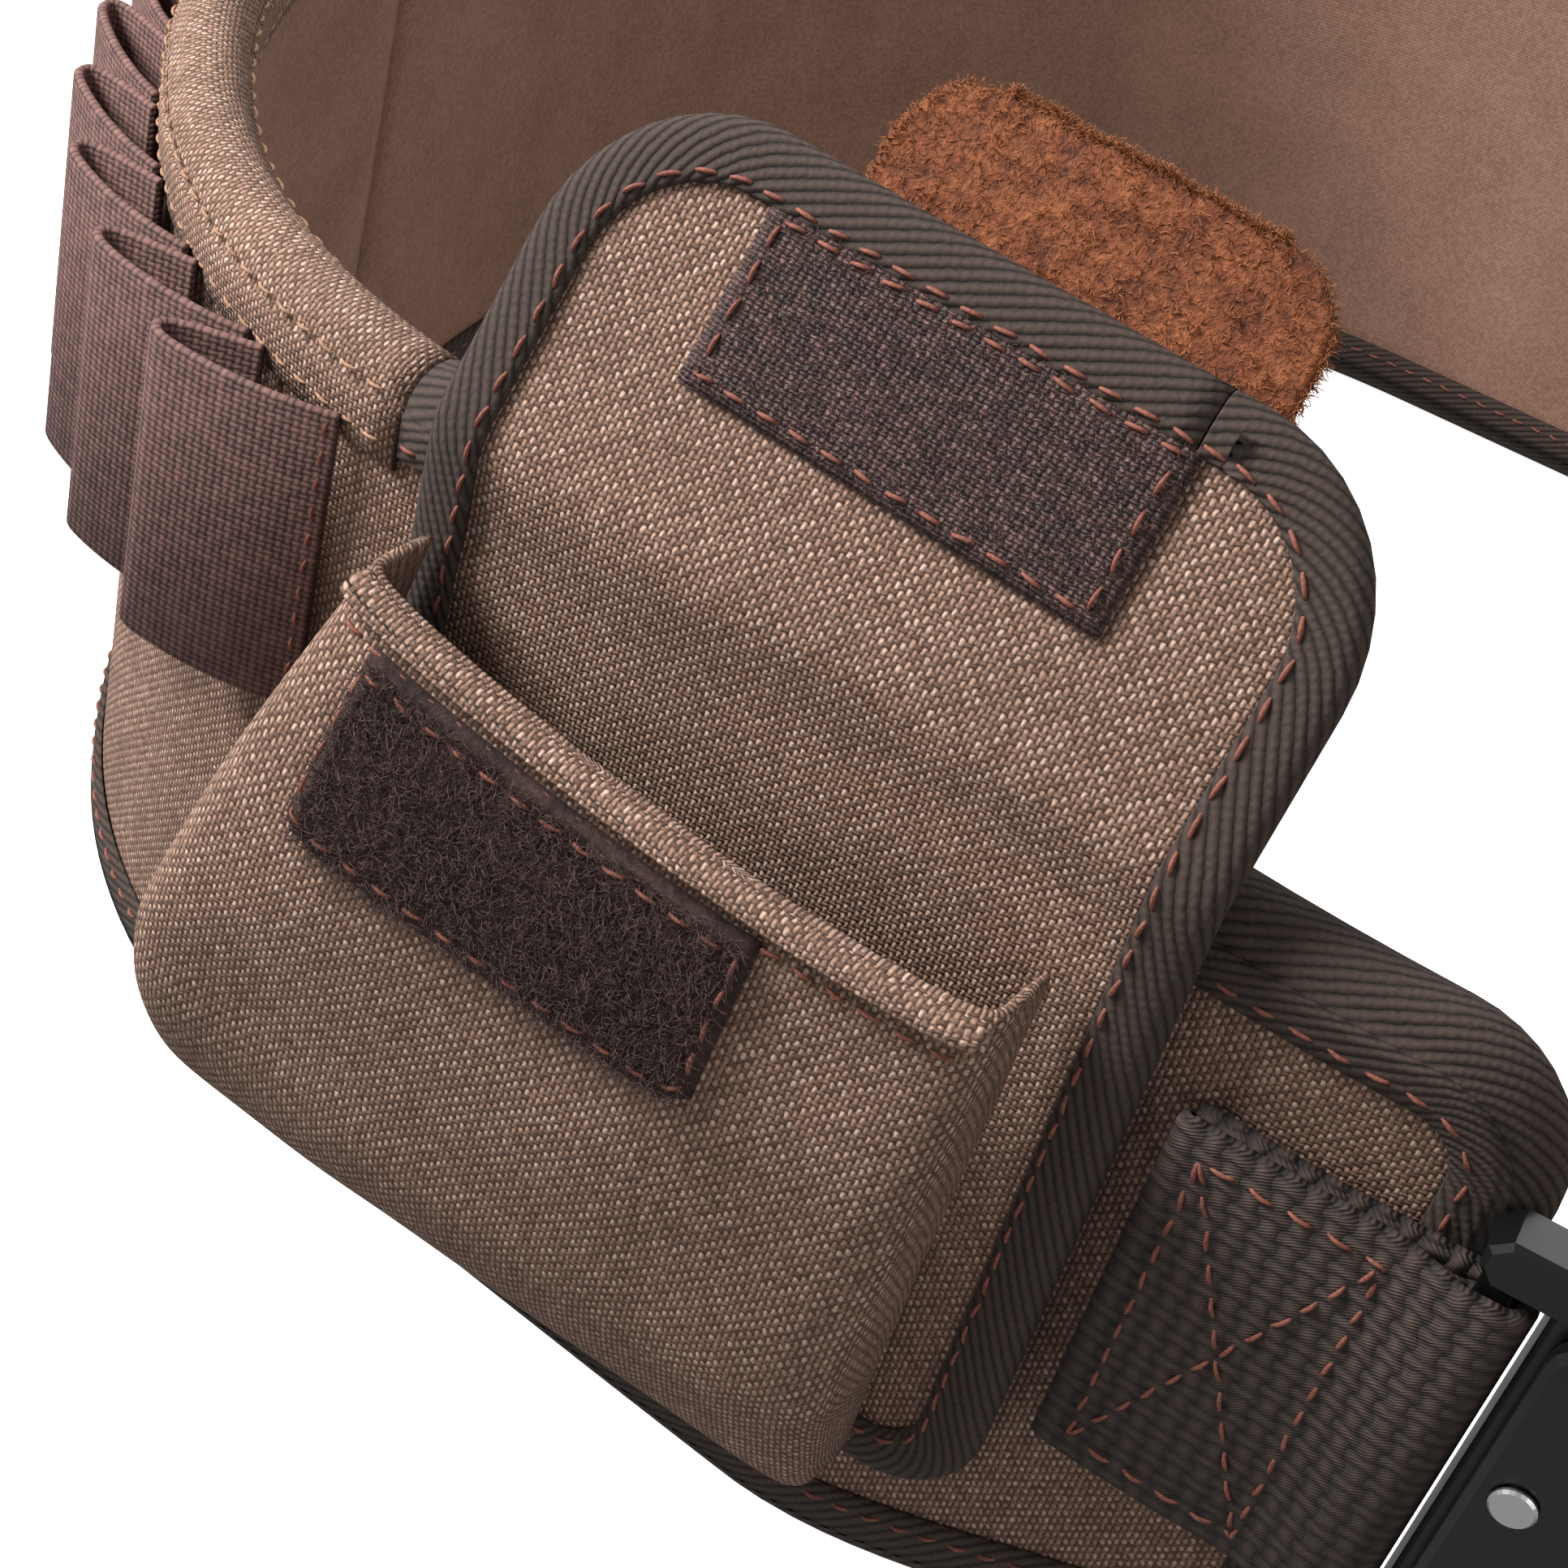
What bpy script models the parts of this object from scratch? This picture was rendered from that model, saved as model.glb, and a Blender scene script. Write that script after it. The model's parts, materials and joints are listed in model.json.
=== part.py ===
"""Tool belt with a row of elastic loops, an open flap pouch and a quick release buckle.

Metres, +Z up. The belt stands on its bottom edge as a closed loop. Its front runs along X,
the outside of the front faces -Y. A place on the belt is given as (s, out, z): s is the way
along the band from its left end, out is the distance outside the band's outer face.
"""
import math

import bmesh
import bpy
from mathutils import Vector

# clearances
GAP = 0.0003            # between pieces that touch
SLIDE_GAP = 0.0005      # between pieces that slide on each other

# band
BAND_HEIGHT = 0.118
BAND_CORNER = 0.016     # radius of the four corners
END_RISE = 0.022        # how far the bottom edge rises towards each end
END_RISE_LENGTH = 0.066
CANVAS = 0.0014
CORE = 0.0046
LINING = 0.0012
BINDING = 0.0008        # thickness of the binding tape
BINDING_WIDTH = 0.0105
HEM_WIDTH = 0.0125
FRONT_BINDING_LENGTH = 0.140   # how far the dark binding runs back along the top edge
SEAM_FROM_END = 0.300   # the lining, foam and edge binding are each joined at two seams
STATION_STEP = 0.012

# plan of the loop, from the left end backwards: length and turn of each stretch
FRONT_STRETCHES = ((0.010, 0.0), (0.033, 8.5), (0.097, 2.0), (0.067, 42.5), (0.075, 32.0))
SIDE_STRAIGHT = 0.050
BACK_RADIUS = 0.150
FRONT_RIGHT_RADIUS = 0.095
RIGHT_STRAIGHT = 0.012
FRONT_GAP = 0.108       # between the band's two ends

# elastic loops
LOOP_COUNT = 10
LOOP_START = 0.147
LOOP_PITCH = 0.017
LOOP_HEIGHT = 0.0405
LOOP_BELOW_EDGE = 0.0095
LOOP_RISE = 0.0112      # how far a loop stands out
LOOP_LEAN = 0.0215      # how far its fold lies behind its seam
ELASTIC = 0.0013

# pouch
POUCH_PLACE = 0.088
PANEL_WIDTH = 0.0955
PANEL_SHIFT = -0.0020    # the panel's middle from the pouch's middle
PANEL_BOTTOM = 0.025
PANEL_CORNER = 0.014
PANEL = 0.0017
PANEL_BINDING_WIDTH = 0.0070
MOUTH_HEIGHT = 0.105
FRONT_HALF_WIDTH = (0.0420, 0.0385)    # of the mouth, left and right
FRONT_SPREAD = (0.0100, -0.0015)       # how much wider the belly is than the mouth
FRONT_WALL = 0.0018
MOUTH_DEPTH = 0.0112
MOUTH_TILT = -0.0004
BELLY_DEPTH = 0.0230
BELLY_DEPTH_TILT = 0.0080
BELLY_HEIGHT = 0.0535
BELLY_TILT = 0.0085         # the belly's corner is this much higher on the left, lower on the right
POUCH_FLOOR = 0.030
BOXINESS = 11.0
TAPE_LENGTH = 0.050
TAPE_WIDTH = 0.020
LOOP_TAPE = 0.0016
LOOP_TAPE_SHIFT = 0.011
LOOP_TAPE_BELOW_MOUTH = 0.0058
HOOK_TAPE = 0.0010
HOOK_TAPE_PLACE = 0.0153

# flap
FLAP_HINGE_ABOVE = 0.0007      # hinge axis above the band's top edge
PANEL_BELOW_EDGE = 0.0037      # where the back panel ends below the band's top edge
FLAP_FOOT = 0.0016             # where the flap starts beyond the hinge axis
FLAP_LENGTH = 0.0412
FLAP_LEAN = 30.0               # leans back from upright, degrees
FLAP_CORNER = 0.0205
TAB_WIDTH = 0.049
TAB_REACH = 0.0135             # beyond the flap's edge
TAB_ROOT = 0.009
TAB_SHIFT = -0.0045
LEATHER = 0.0018

# webbing and buckle: x runs from the band's left end towards its right end
WEB_WIDTH = 0.050
WEB = 0.0020
WEB_CENTRE = 0.072
WEB_SEWN = 0.033
BAR_WIDTH = 0.004
BAR_THICK = 0.002
BAR_PLACE = -0.0018
ARM_REACH = 0.0028      # arms beyond the bar's centre
ARM_WIDTH = 0.006
BODY_START = 0.0032
BODY_END = 0.040
BODY_HALF = 0.029
BODY_THICK = 0.0056
BODY_BACK = 0.0016
FLOOR_THICK = 0.0020
CHANNEL_HALF = 0.0175
CHANNEL_START = 0.020
COVER_THICK = 0.0024
COVER_INSET = 0.0015
RECESS_RADIUS = 0.0060
RECESS_DEPTH = 0.0006
RIVET_RADIUS = 0.0016
RIVET_HEAD = 0.0024
RIVET_PLACES = ((0.0090, 0.0065), (0.0360, 0.0225), (0.0360, -0.0225))
LEVER_START = 0.0185
LEVER_END = 0.0315
LEVER_TRAVEL = 0.0022
LEVER_PAD = 0.0032
CHANNEL_WALL = 0.0015
SPRING_LENGTH = 0.0036
SPRING_RADIUS = 0.0009
SPRING_WIRE = 0.00022
SPRING_TURNS = 4
MALE_LENGTH = 0.0255
MALE_SLOT = 0.016
MALE_RAIL = 0.005
TONGUE_STROKE = 0.020
KEEPER_WIDTH = 0.010
KEEPER_WALL = 0.0010
KEEPER_FROM_END = 0.009
TAIL_END = 0.118

BAND = CANVAS + CORE + LINING + 2 * GAP
EDGE_INSET = BINDING + GAP


# ---------------------------------------------------------------- plan

def plan_stretches():
    """Stretches of the band as (start, x, y, heading, length, turn), closed round to the front."""
    back_turn = 180.0 - sum(turn for _, turn in FRONT_STRETCHES)
    quarter = math.pi / 2
    runs = [(length, math.radians(turn)) for length, turn in FRONT_STRETCHES]
    runs.append((SIDE_STRAIGHT, 0.0))
    runs.append((BACK_RADIUS * math.radians(back_turn), math.radians(back_turn)))
    reach = walk(runs)[-1]
    after_x = BACK_RADIUS - FRONT_RIGHT_RADIUS - RIGHT_STRAIGHT
    runs.append((FRONT_GAP - reach[1] - after_x, 0.0))
    runs.append((BACK_RADIUS * quarter, quarter))
    runs.append((reach[2] - BACK_RADIUS - FRONT_RIGHT_RADIUS, 0.0))
    runs.append((FRONT_RIGHT_RADIUS * quarter, quarter))
    runs.append((RIGHT_STRAIGHT, 0.0))
    return walk(runs)


def walk(runs):
    """Follow straight and curved runs from the origin; the last entry is the end point."""
    s, x, y, heading = 0.0, 0.0, 0.0, 0.0
    stretches = []
    for length, turn in runs:
        stretches.append((s, x, y, heading, length, turn))
        x, y = advance(x, y, heading, length, turn, length)
        heading += turn
        s += length
    stretches.append((s, x, y, heading, 0.0, 0.0))
    return stretches


def advance(x, y, heading, length, turn, along):
    """Point reached after going a way along one stretch."""
    if abs(turn) < 1e-9:
        return x - along * math.cos(heading), y + along * math.sin(heading)
    radius = length / turn
    bend = heading + along / radius
    return (x - radius * (math.sin(bend) - math.sin(heading)),
            y - radius * (math.cos(bend) - math.cos(heading)))


STRETCHES = plan_stretches()
BAND_LENGTH = STRETCHES[-1][0]


def heading_at(s):
    for start, _, _, heading, length, turn in reversed(STRETCHES):
        if s >= start:
            return heading + (turn * (s - start) / length if length > 0 else 0.0)
    return 0.0


def place(s, out, z):
    """Point at s along the band, out from its outer face, z above the floor."""
    x, y = -s, 0.0
    for start, sx, sy, heading, length, turn in reversed(STRETCHES):
        if s >= start:
            x, y = advance(sx, sy, heading, length, turn, s - start)
            break
    angle = heading_at(s)
    return Vector((x - out * math.sin(angle), y - out * math.cos(angle), z))


def front(x, out, up):
    """Point in the buckle's own frame: x to the right of the band's left end."""
    return Vector((x, -out, WEB_CENTRE + up))


# ---------------------------------------------------------------- meshes

def material(name, colour, roughness, metallic=0.0):
    found = bpy.data.materials.get(name)
    if found:
        return found
    made = bpy.data.materials.new(name)
    made.use_nodes = True
    shader = made.node_tree.nodes["Principled BSDF"]
    shader.inputs["Base Color"].default_value = (*colour, 1.0)
    shader.inputs["Roughness"].default_value = roughness
    shader.inputs["Metallic"].default_value = metallic
    made.diffuse_color = (*colour, 1.0)
    return made


def canvas_material():
    return material("canvas", (0.23, 0.16, 0.12), 0.9)


def lining_material():
    return material("lining", (0.16, 0.10, 0.075), 0.85)


def core_material():
    return material("foam", (0.10, 0.10, 0.10), 0.9)


def binding_material():
    return material("binding", (0.085, 0.065, 0.060), 0.85)


def elastic_material():
    return material("elastic", (0.17, 0.115, 0.095), 0.8)


def web_material():
    return material("webbing", (0.040, 0.030, 0.028), 0.8)


def loop_tape_material():
    return material("loop_tape", (0.055, 0.040, 0.035), 0.95)


def hook_tape_material():
    return material("hook_tape", (0.060, 0.045, 0.040), 0.7)


def leather_material():
    return material("leather", (0.36, 0.13, 0.035), 0.85)


def black_metal():
    return material("black_metal", (0.012, 0.011, 0.012), 0.25, 0.8)


def steel():
    return material("steel", (0.60, 0.60, 0.60), 0.3, 1.0)


def add_object(name, mesh_build, made_of, origin=Vector((0, 0, 0)), parent=None):
    """Object from a bmesh, its origin moved to the given point."""
    bmesh.ops.remove_doubles(mesh_build, verts=mesh_build.verts, dist=1e-7)
    bmesh.ops.recalc_face_normals(mesh_build, faces=mesh_build.faces)
    bmesh.ops.translate(mesh_build, verts=mesh_build.verts, vec=-origin)
    mesh = bpy.data.meshes.new(name)
    mesh_build.to_mesh(mesh)
    mesh_build.free()
    mesh.materials.append(made_of)
    mesh.shade_smooth()
    mesh.set_sharp_from_angle(angle=math.radians(35))
    made = bpy.data.objects.new(name, mesh)
    bpy.context.scene.collection.objects.link(made)
    made.parent = parent
    made.location = origin
    return made


def loft(rings, closed=False):
    """Skin equal rings of points; an open row of rings is capped at both ends."""
    made = bmesh.new()
    rows = [[made.verts.new(point) for point in ring] for ring in rings]
    count = len(rows[0])
    pairs = list(zip(rows, rows[1:]))
    if closed:
        pairs.append((rows[-1], rows[0]))
    for low, high in pairs:
        for i in range(count):
            j = (i + 1) % count
            made.faces.new((low[i], low[j], high[j], high[i]))
    if not closed:
        made.faces.new(rows[0])
        made.faces.new(rows[-1])
    return made


def shell(outer, inner):
    """Solid between two equal grids of points, joined along their four borders."""
    made = bmesh.new()
    skins = [[[made.verts.new(point) for point in row] for row in grid] for grid in (outer, inner)]
    rows, columns = len(outer), len(outer[0])
    for grid in skins:
        for r in range(rows - 1):
            for c in range(columns - 1):
                made.faces.new((grid[r][c], grid[r][c + 1], grid[r + 1][c + 1], grid[r + 1][c]))
    border = [(0, c) for c in range(columns)]
    border += [(r, columns - 1) for r in range(1, rows)]
    border += [(rows - 1, c) for c in range(columns - 2, -1, -1)]
    border += [(r, 0) for r in range(rows - 2, 0, -1)]
    for (ra, ca), (rb, cb) in zip(border, border[1:] + border[:1]):
        made.faces.new((skins[0][ra][ca], skins[0][rb][cb], skins[1][rb][cb], skins[1][ra][ca]))
    return made


def prism(outline, to_space, back, front_face, bevel=0.0):
    """Flat outline made thick along its third direction, with a bevelled front edge."""
    levels = [(back, 0.0), (front_face - bevel, 0.0)]
    if bevel > 0:
        levels.append((front_face, bevel))
    rings = []
    for depth, inset in levels:
        edge = inset_outline(outline, inset) if inset else outline
        rings.append([to_space(a, depth, b) for a, b in edge])
    return loft(rings)


def inset_outline(outline, distance):
    """Outline moved inwards by a distance, corner by corner."""
    area = sum(a[0] * b[1] - b[0] * a[1] for a, b in zip(outline, outline[1:] + outline[:1]))
    side = 1.0 if area > 0 else -1.0
    moved = []
    for i, here in enumerate(outline):
        before = Vector(outline[i - 1])
        after = Vector(outline[(i + 1) % len(outline)])
        now = Vector(here)
        first = (now - before).normalized()
        second = (after - now).normalized()
        normal = Vector((-first.y - second.y, first.x + second.x)) * side
        cosine = normal.length / 2
        moved.append(tuple(now + normal.normalized() * distance / max(cosine, 0.5)))
    return moved


def box(low, high, to_space, bevel=0.0):
    """Block between two corners given as (a, depth, b)."""
    outline = [(low[0], low[2]), (high[0], low[2]), (high[0], high[2]), (low[0], high[2])]
    return prism(outline, to_space, low[1], high[1], bevel)


def arc(centre, radius, start, end, steps):
    """Points on a circle from one angle to another, in degrees."""
    points = []
    for i in range(steps + 1):
        angle = math.radians(start + (end - start) * i / steps)
        points.append((centre[0] + radius * math.cos(angle), centre[1] + radius * math.sin(angle)))
    return points


def rounded_rectangle(a0, a1, b0, b1, radius, steps=4):
    return (arc((a1 - radius, b1 - radius), radius, 0, 90, steps)
            + arc((a0 + radius, b1 - radius), radius, 90, 180, steps)
            + arc((a0 + radius, b0 + radius), radius, 180, 270, steps)
            + arc((a1 - radius, b0 + radius), radius, 270, 360, steps))


def cut(target, name, cutter_mesh):
    """Cut one shape out of a piece."""
    cutter = add_object(name, cutter_mesh, black_metal(), parent=target.parent)
    cutter.hide_render = True
    cutter.display_type = "WIRE"
    modifier = target.modifiers.new(name, "BOOLEAN")
    modifier.operation = "DIFFERENCE"
    modifier.solver = "EXACT"
    modifier.object = cutter
    return cutter


def drum(radius, back, front_face, x, up, steps=20):
    """Round plug that stands along the out direction."""
    outline = arc((x, up), radius, 0, 360 - 360 / steps, steps - 1)
    return prism(outline, front, back, front_face)


# ---------------------------------------------------------------- band

def bottom_edge(s):
    """Height of the band's bottom edge, which rises towards both ends."""
    along = min(s, BAND_LENGTH - s) / END_RISE_LENGTH
    rest = max(0.0, 1.0 - along)
    return END_RISE * rest * rest * (3 - 2 * rest)


def end_stations(inset):
    """Places round a corner, measured from the band's end."""
    radius = BAND_CORNER - inset
    return [inset + radius * (1 - math.cos(math.radians(angle))) for angle in (0, 22.5, 45, 67.5, 90)]


def inner_stations():
    """Places between the corners, closer together where the bottom edge rises."""
    rise = [BAND_CORNER + (END_RISE_LENGTH - BAND_CORNER) * i / 8 for i in range(1, 9)]
    span = BAND_LENGTH - 2 * END_RISE_LENGTH
    count = round(span / STATION_STEP)
    middle = [END_RISE_LENGTH + span * i / count for i in range(1, count)]
    return rise + middle + [BAND_LENGTH - s for s in reversed(rise)]


def corner_drop(s, inset):
    """How much a rounded corner takes off the height at s."""
    radius = BAND_CORNER - inset
    from_end = min(s, BAND_LENGTH - s) - inset
    if from_end >= radius:
        return 0.0
    return radius - math.sqrt(max(0.0, radius ** 2 - (radius - from_end) ** 2))


def band_layer(start, end, out_face, thickness, inset):
    """Strip that follows the whole outline of the band between two places."""
    ends = end_stations(inset)
    stations = ends + inner_stations() + [BAND_LENGTH - e for e in reversed(ends)]
    stations = [start] + [s for s in stations if start + 1e-4 < s < end - 1e-4] + [end]
    rings = []
    for s in stations:
        drop = corner_drop(s, inset)
        low = bottom_edge(s) + inset + drop
        high = BAND_HEIGHT - inset - drop
        back = out_face - thickness
        rings.append([place(s, out_face, low), place(s, out_face, high),
                      place(s, back, high), place(s, back, low)])
    return loft(rings)


def band_edge_path():
    """Outline of the band from the top edge round one end, the bottom and the other end."""
    front_top = [FRONT_BINDING_LENGTH]
    front_top += [s for s in reversed(inner_stations()) if s < FRONT_BINDING_LENGTH - 1e-3]
    left = [(s, BAND_HEIGHT) for s in front_top]
    radius = BAND_CORNER
    top_corner = arc((radius, BAND_HEIGHT - radius), radius, 90, 180, 4)
    low = bottom_edge(0.0) + radius
    low_corner = []
    for s in end_stations(0.0)[:-1]:
        low_corner.append((s, bottom_edge(s) + corner_drop(s, 0.0)))
    left += top_corner + [(0.0, (low + BAND_HEIGHT - radius) / 2)] + low_corner
    left += [(BAND_CORNER, bottom_edge(BAND_CORNER))]
    bottom = [(s, bottom_edge(s)) for s in inner_stations()]
    right = [(BAND_LENGTH - s, z) for s, z in reversed(left)]
    return left, bottom, right


def binding_paths():
    """The binding's path in three lengths, joined at the seams."""
    left, bottom, right = band_edge_path()
    names = ("left", "back", "right")
    limits = seam_spans()
    paths = []
    for name, (low, high) in zip(names, limits):
        inside = [point for point in bottom if low + 1e-3 < point[0] < high - 1e-3]
        path = ([] if name == "left" else [(low, 0.0)]) + inside + ([] if name == "right" else [(high, 0.0)])
        if name == "left":
            path = left + path
        if name == "right":
            path = path + right
        paths.append((name, path))
    return paths


def seam_spans():
    """Start and end along the band of the three joined lengths."""
    first, second = SEAM_FROM_END, BAND_LENGTH - SEAM_FROM_END
    half = GAP / 2
    return ((0.0, first - half), (first + half, second - half), (second + half, BAND_LENGTH))


def channel(path, width, thickness, inner_front, inner_back, to_space):
    """U shaped tape folded over an edge; path is the tape's outer edge, inside on its left."""
    rings = []
    soft = thickness * 0.8
    for i, here in enumerate(path):
        before = Vector(path[max(i - 1, 0)])
        after = Vector(path[min(i + 1, len(path) - 1)])
        run = (after - before).normalized()
        inward = Vector((-run.y, run.x))
        now = Vector(here)
        face, back = inner_front + thickness, inner_back - thickness
        profile = [(soft, face), (width, face), (width, inner_front), (thickness, inner_front),
                   (thickness, inner_back), (width, inner_back), (width, back), (soft, back),
                   (0.0, back + soft), (0.0, face - soft)]
        ring = []
        for inside, out in profile:
            spot = now + inward * inside
            ring.append(to_space(spot.x, out, spot.y))
        rings.append(ring)
    return loft(rings)


def make_band(parent):
    canvas_face = 0.0
    core_face = -CANVAS - GAP
    lining_face = core_face - CORE - GAP
    start, end = EDGE_INSET, BAND_LENGTH - EDGE_INSET
    add_object("canvas_outer", band_layer(start, end, canvas_face, CANVAS, EDGE_INSET),
               canvas_material(), parent=parent)
    for name, (low, high) in zip(("left", "back", "right"), seam_spans()):
        low, high = max(low, start), min(high, end)
        foam = band_layer(low, high, core_face, CORE, EDGE_INSET)
        add_object(f"foam_{name}", foam, core_material(), parent=parent)
        strip = band_layer(low, high, lining_face, LINING, EDGE_INSET)
        add_object(f"lining_{name}", strip, lining_material(), parent=parent)
    for name, path in binding_paths():
        tape = channel(path, BINDING_WIDTH, BINDING, GAP, -BAND - GAP, place)
        add_object(f"edge_binding_{name}", tape, binding_material(), parent=parent)
    hem_start = FRONT_BINDING_LENGTH + GAP
    inside = [s for s in inner_stations() if hem_start + 1e-3 < s < BAND_LENGTH - hem_start - 1e-3]
    hem_path = [(s, BAND_HEIGHT) for s in [hem_start] + inside + [BAND_LENGTH - hem_start]]
    hem = channel(list(reversed(hem_path)), HEM_WIDTH, BINDING, GAP, -BAND - GAP, place)
    add_object("top_hem", hem, canvas_material(), parent=parent)


# ---------------------------------------------------------------- elastic loops

def loop_line():
    """Middle line of one elastic loop from its seam, out to its fold and back, as (along, out)."""
    foot = GAP + ELASTIC / 2 + BINDING
    knots = [(0.04, 0.0), (0.26, 0.32), (0.54, 0.66), (0.82, 0.93), (0.955, 1.0), (1.02, 0.88),
             (0.965, 0.62), (0.82, 0.28), (0.68, 0.0)]
    points = []
    for i in range(len(knots) - 1):
        for step in range(3):
            points.append(spline(knots, i, step / 3))
    points.append(knots[-1])
    return [(a * LOOP_LEAN, foot + b * (LOOP_RISE - foot)) for a, b in points]


def spline(knots, i, t):
    """Smooth curve through the knots between knot i and the next one."""
    p0 = Vector(knots[max(i - 1, 0)])
    p1 = Vector(knots[i])
    p2 = Vector(knots[i + 1])
    p3 = Vector(knots[min(i + 2, len(knots) - 1)])
    point = 0.5 * (2 * p1 + (p2 - p0) * t + (2 * p0 - 5 * p1 + 4 * p2 - p3) * t ** 2
                   + (3 * p1 - p0 - 3 * p2 + p3) * t ** 3)
    return point.x, point.y


def make_loops(parent):
    line = loop_line()
    top = BAND_HEIGHT - LOOP_BELOW_EDGE
    for number in range(LOOP_COUNT):
        seam = LOOP_START + number * LOOP_PITCH
        rings = []
        for i, here in enumerate(line):
            before = Vector(line[max(i - 1, 0)])
            after = Vector(line[min(i + 1, len(line) - 1)])
            run = (after - before).normalized()
            side = Vector((-run.y, run.x)) * ELASTIC / 2
            ring = []
            for sign, z in ((1, top - LOOP_HEIGHT), (1, top), (-1, top), (-1, top - LOOP_HEIGHT)):
                ring.append(place(seam + here[0] + sign * side.x, here[1] + sign * side.y, z))
            rings.append(ring)
        add_object(f"elastic_loop_{number + 1:02d}", loft(rings), elastic_material(), parent=parent)


# ---------------------------------------------------------------- pouch

PANEL_BACK = BINDING + 3 * GAP + BINDING + GAP
PANEL_FACE = PANEL_BACK + PANEL
POUCH_BASE = PANEL_FACE + 2 * GAP + BINDING
HINGE_Z = BAND_HEIGHT + FLAP_HINGE_ABOVE
HINGE_OUT = PANEL_BACK + PANEL / 2
PANEL_TOP = BAND_HEIGHT - PANEL_BELOW_EDGE


def pouch_space(across, out, z):
    """Pouch place: across is measured from the pouch's middle towards the loops."""
    return place(POUCH_PLACE + across, out, z)


def panel_space(across, out, z):
    """The same, measured from the back panel's middle."""
    return pouch_space(PANEL_SHIFT + across, out, z)


def panel_outline(inset, top):
    half = PANEL_WIDTH / 2 - inset
    low = PANEL_BOTTOM + inset
    radius = PANEL_CORNER - inset
    points = [(half, top)]
    points += arc((half - radius, low + radius), radius, 0, -90, 5)
    points += [(half * (1 - 2 * i / 8), low) for i in range(2, 7)]
    points += arc((-half + radius, low + radius), radius, -90, -180, 5)
    points.append((-half, top))
    return points


def panel_strip(inset):
    """Back panel as upright slices, so that it bends with the band."""
    half = PANEL_WIDTH / 2 - inset
    radius = PANEL_CORNER - inset
    edges = [half - radius * (1 - math.cos(math.radians(a))) for a in (0, 22.5, 45, 67.5, 90)]
    middle = [edges[-1] * (1 - i / 3) for i in range(1, 6)]
    rings = []
    for across in edges + middle + [-e for e in reversed(edges)]:
        over = max(0.0, abs(across) - (half - radius))
        low = PANEL_BOTTOM + inset + radius - math.sqrt(max(0.0, radius ** 2 - over ** 2))
        rings.append([panel_space(across, PANEL_BACK, low), panel_space(across, PANEL_BACK, PANEL_TOP),
                      panel_space(across, PANEL_FACE, PANEL_TOP), panel_space(across, PANEL_FACE, low)])
    return loft(rings)


def front_profile():
    """Line down the pouch's front and under its belly, as (depth share, drop).

    The depth share runs from 0 at the mouth to 1 at the belly. The drop is 1 at the belly and 2 at
    the floor.
    """
    return [(0.0, 0.0), (0.40, 0.25), (0.72, 0.50), (0.93, 0.78), (1.0, 1.0),
            (0.94, 1.32), (0.62, 1.74), (0.22, 1.94), (-0.10, 2.0)]


def front_spot(share, depth_share, drop, wall):
    """Point of the pouch's front; share runs from -1 on the right to 1 on the left."""
    side = 0 if share > 0 else 1
    half = FRONT_HALF_WIDTH[side] + FRONT_SPREAD[side] * min(1.0, drop) - wall
    belly_depth = BELLY_DEPTH + BELLY_DEPTH_TILT * share
    mouth_depth = MOUTH_DEPTH + MOUTH_TILT * share
    depth = mouth_depth + (belly_depth - mouth_depth) * depth_share
    if depth_share < 0:
        depth = mouth_depth * (1 + depth_share / 0.10)
    belly_height = BELLY_HEIGHT + BELLY_TILT * share
    z = MOUTH_HEIGHT + (belly_height - MOUTH_HEIGHT) * min(1.0, drop)
    if drop > 1:
        z += (POUCH_FLOOR + wall - belly_height) * (drop - 1)
    fullness = (1.0 - abs(share) ** BOXINESS) ** (1.0 / BOXINESS)
    out = POUCH_BASE + max(0.0, depth - wall) * fullness
    return half * share, out, z


def front_grid(wall):
    angles = [180 * i / 18 for i in range(19)]
    grid = []
    for depth_share, drop in front_profile():
        row = []
        for angle in angles:
            cosine = math.cos(math.radians(angle))
            share = math.copysign(abs(cosine) ** 0.45, cosine)
            row.append(pouch_space(*front_spot(share, depth_share, drop, wall)))
        grid.append(row)
    return grid


def make_pouch(parent):
    add_object("pouch_back", panel_strip(EDGE_INSET), canvas_material(), parent=parent)
    path = panel_outline(0.0, PANEL_TOP)
    tape = channel(list(reversed(path)), PANEL_BINDING_WIDTH, BINDING, PANEL_FACE + GAP,
                   PANEL_BACK - GAP, panel_space)
    add_object("pouch_binding", tape, binding_material(), parent=parent)
    add_object("pouch_front", shell(front_grid(0.0), front_grid(FRONT_WALL)),
               canvas_material(), parent=parent)
    add_object("loop_tape", shell(loop_tape_grid(2 * GAP + LOOP_TAPE), loop_tape_grid(2 * GAP)),
               loop_tape_material(), parent=parent)


def loop_tape_grid(lift):
    """One face of the loop tape on the pouch's front."""
    grid = []
    for i in range(4):
        below = LOOP_TAPE_BELOW_MOUTH + TAPE_WIDTH * 0.85 * i / 3
        drop = below / (MOUTH_HEIGHT - BELLY_HEIGHT)
        row = []
        for j in range(13):
            across = LOOP_TAPE_SHIFT + TAPE_LENGTH * (0.5 - j / 12)
            side = 0 if across > 0 else 1
            share = across / (FRONT_HALF_WIDTH[side] + FRONT_SPREAD[side] * drop)
            spot, out, z = front_spot(share, drop_share(drop), drop, 0.0)
            row.append(pouch_space(spot, out + lift, z))
        grid.append(row)
    return grid


def drop_share(drop):
    """Depth share of the pouch's front at a drop below its mouth."""
    line = front_profile()
    for (d0, z0), (d1, z1) in zip(line, line[1:]):
        if z0 <= drop <= z1:
            return d0 + (d1 - d0) * (drop - z0) / (z1 - z0)
    return 0.0


# ---------------------------------------------------------------- flap

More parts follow.
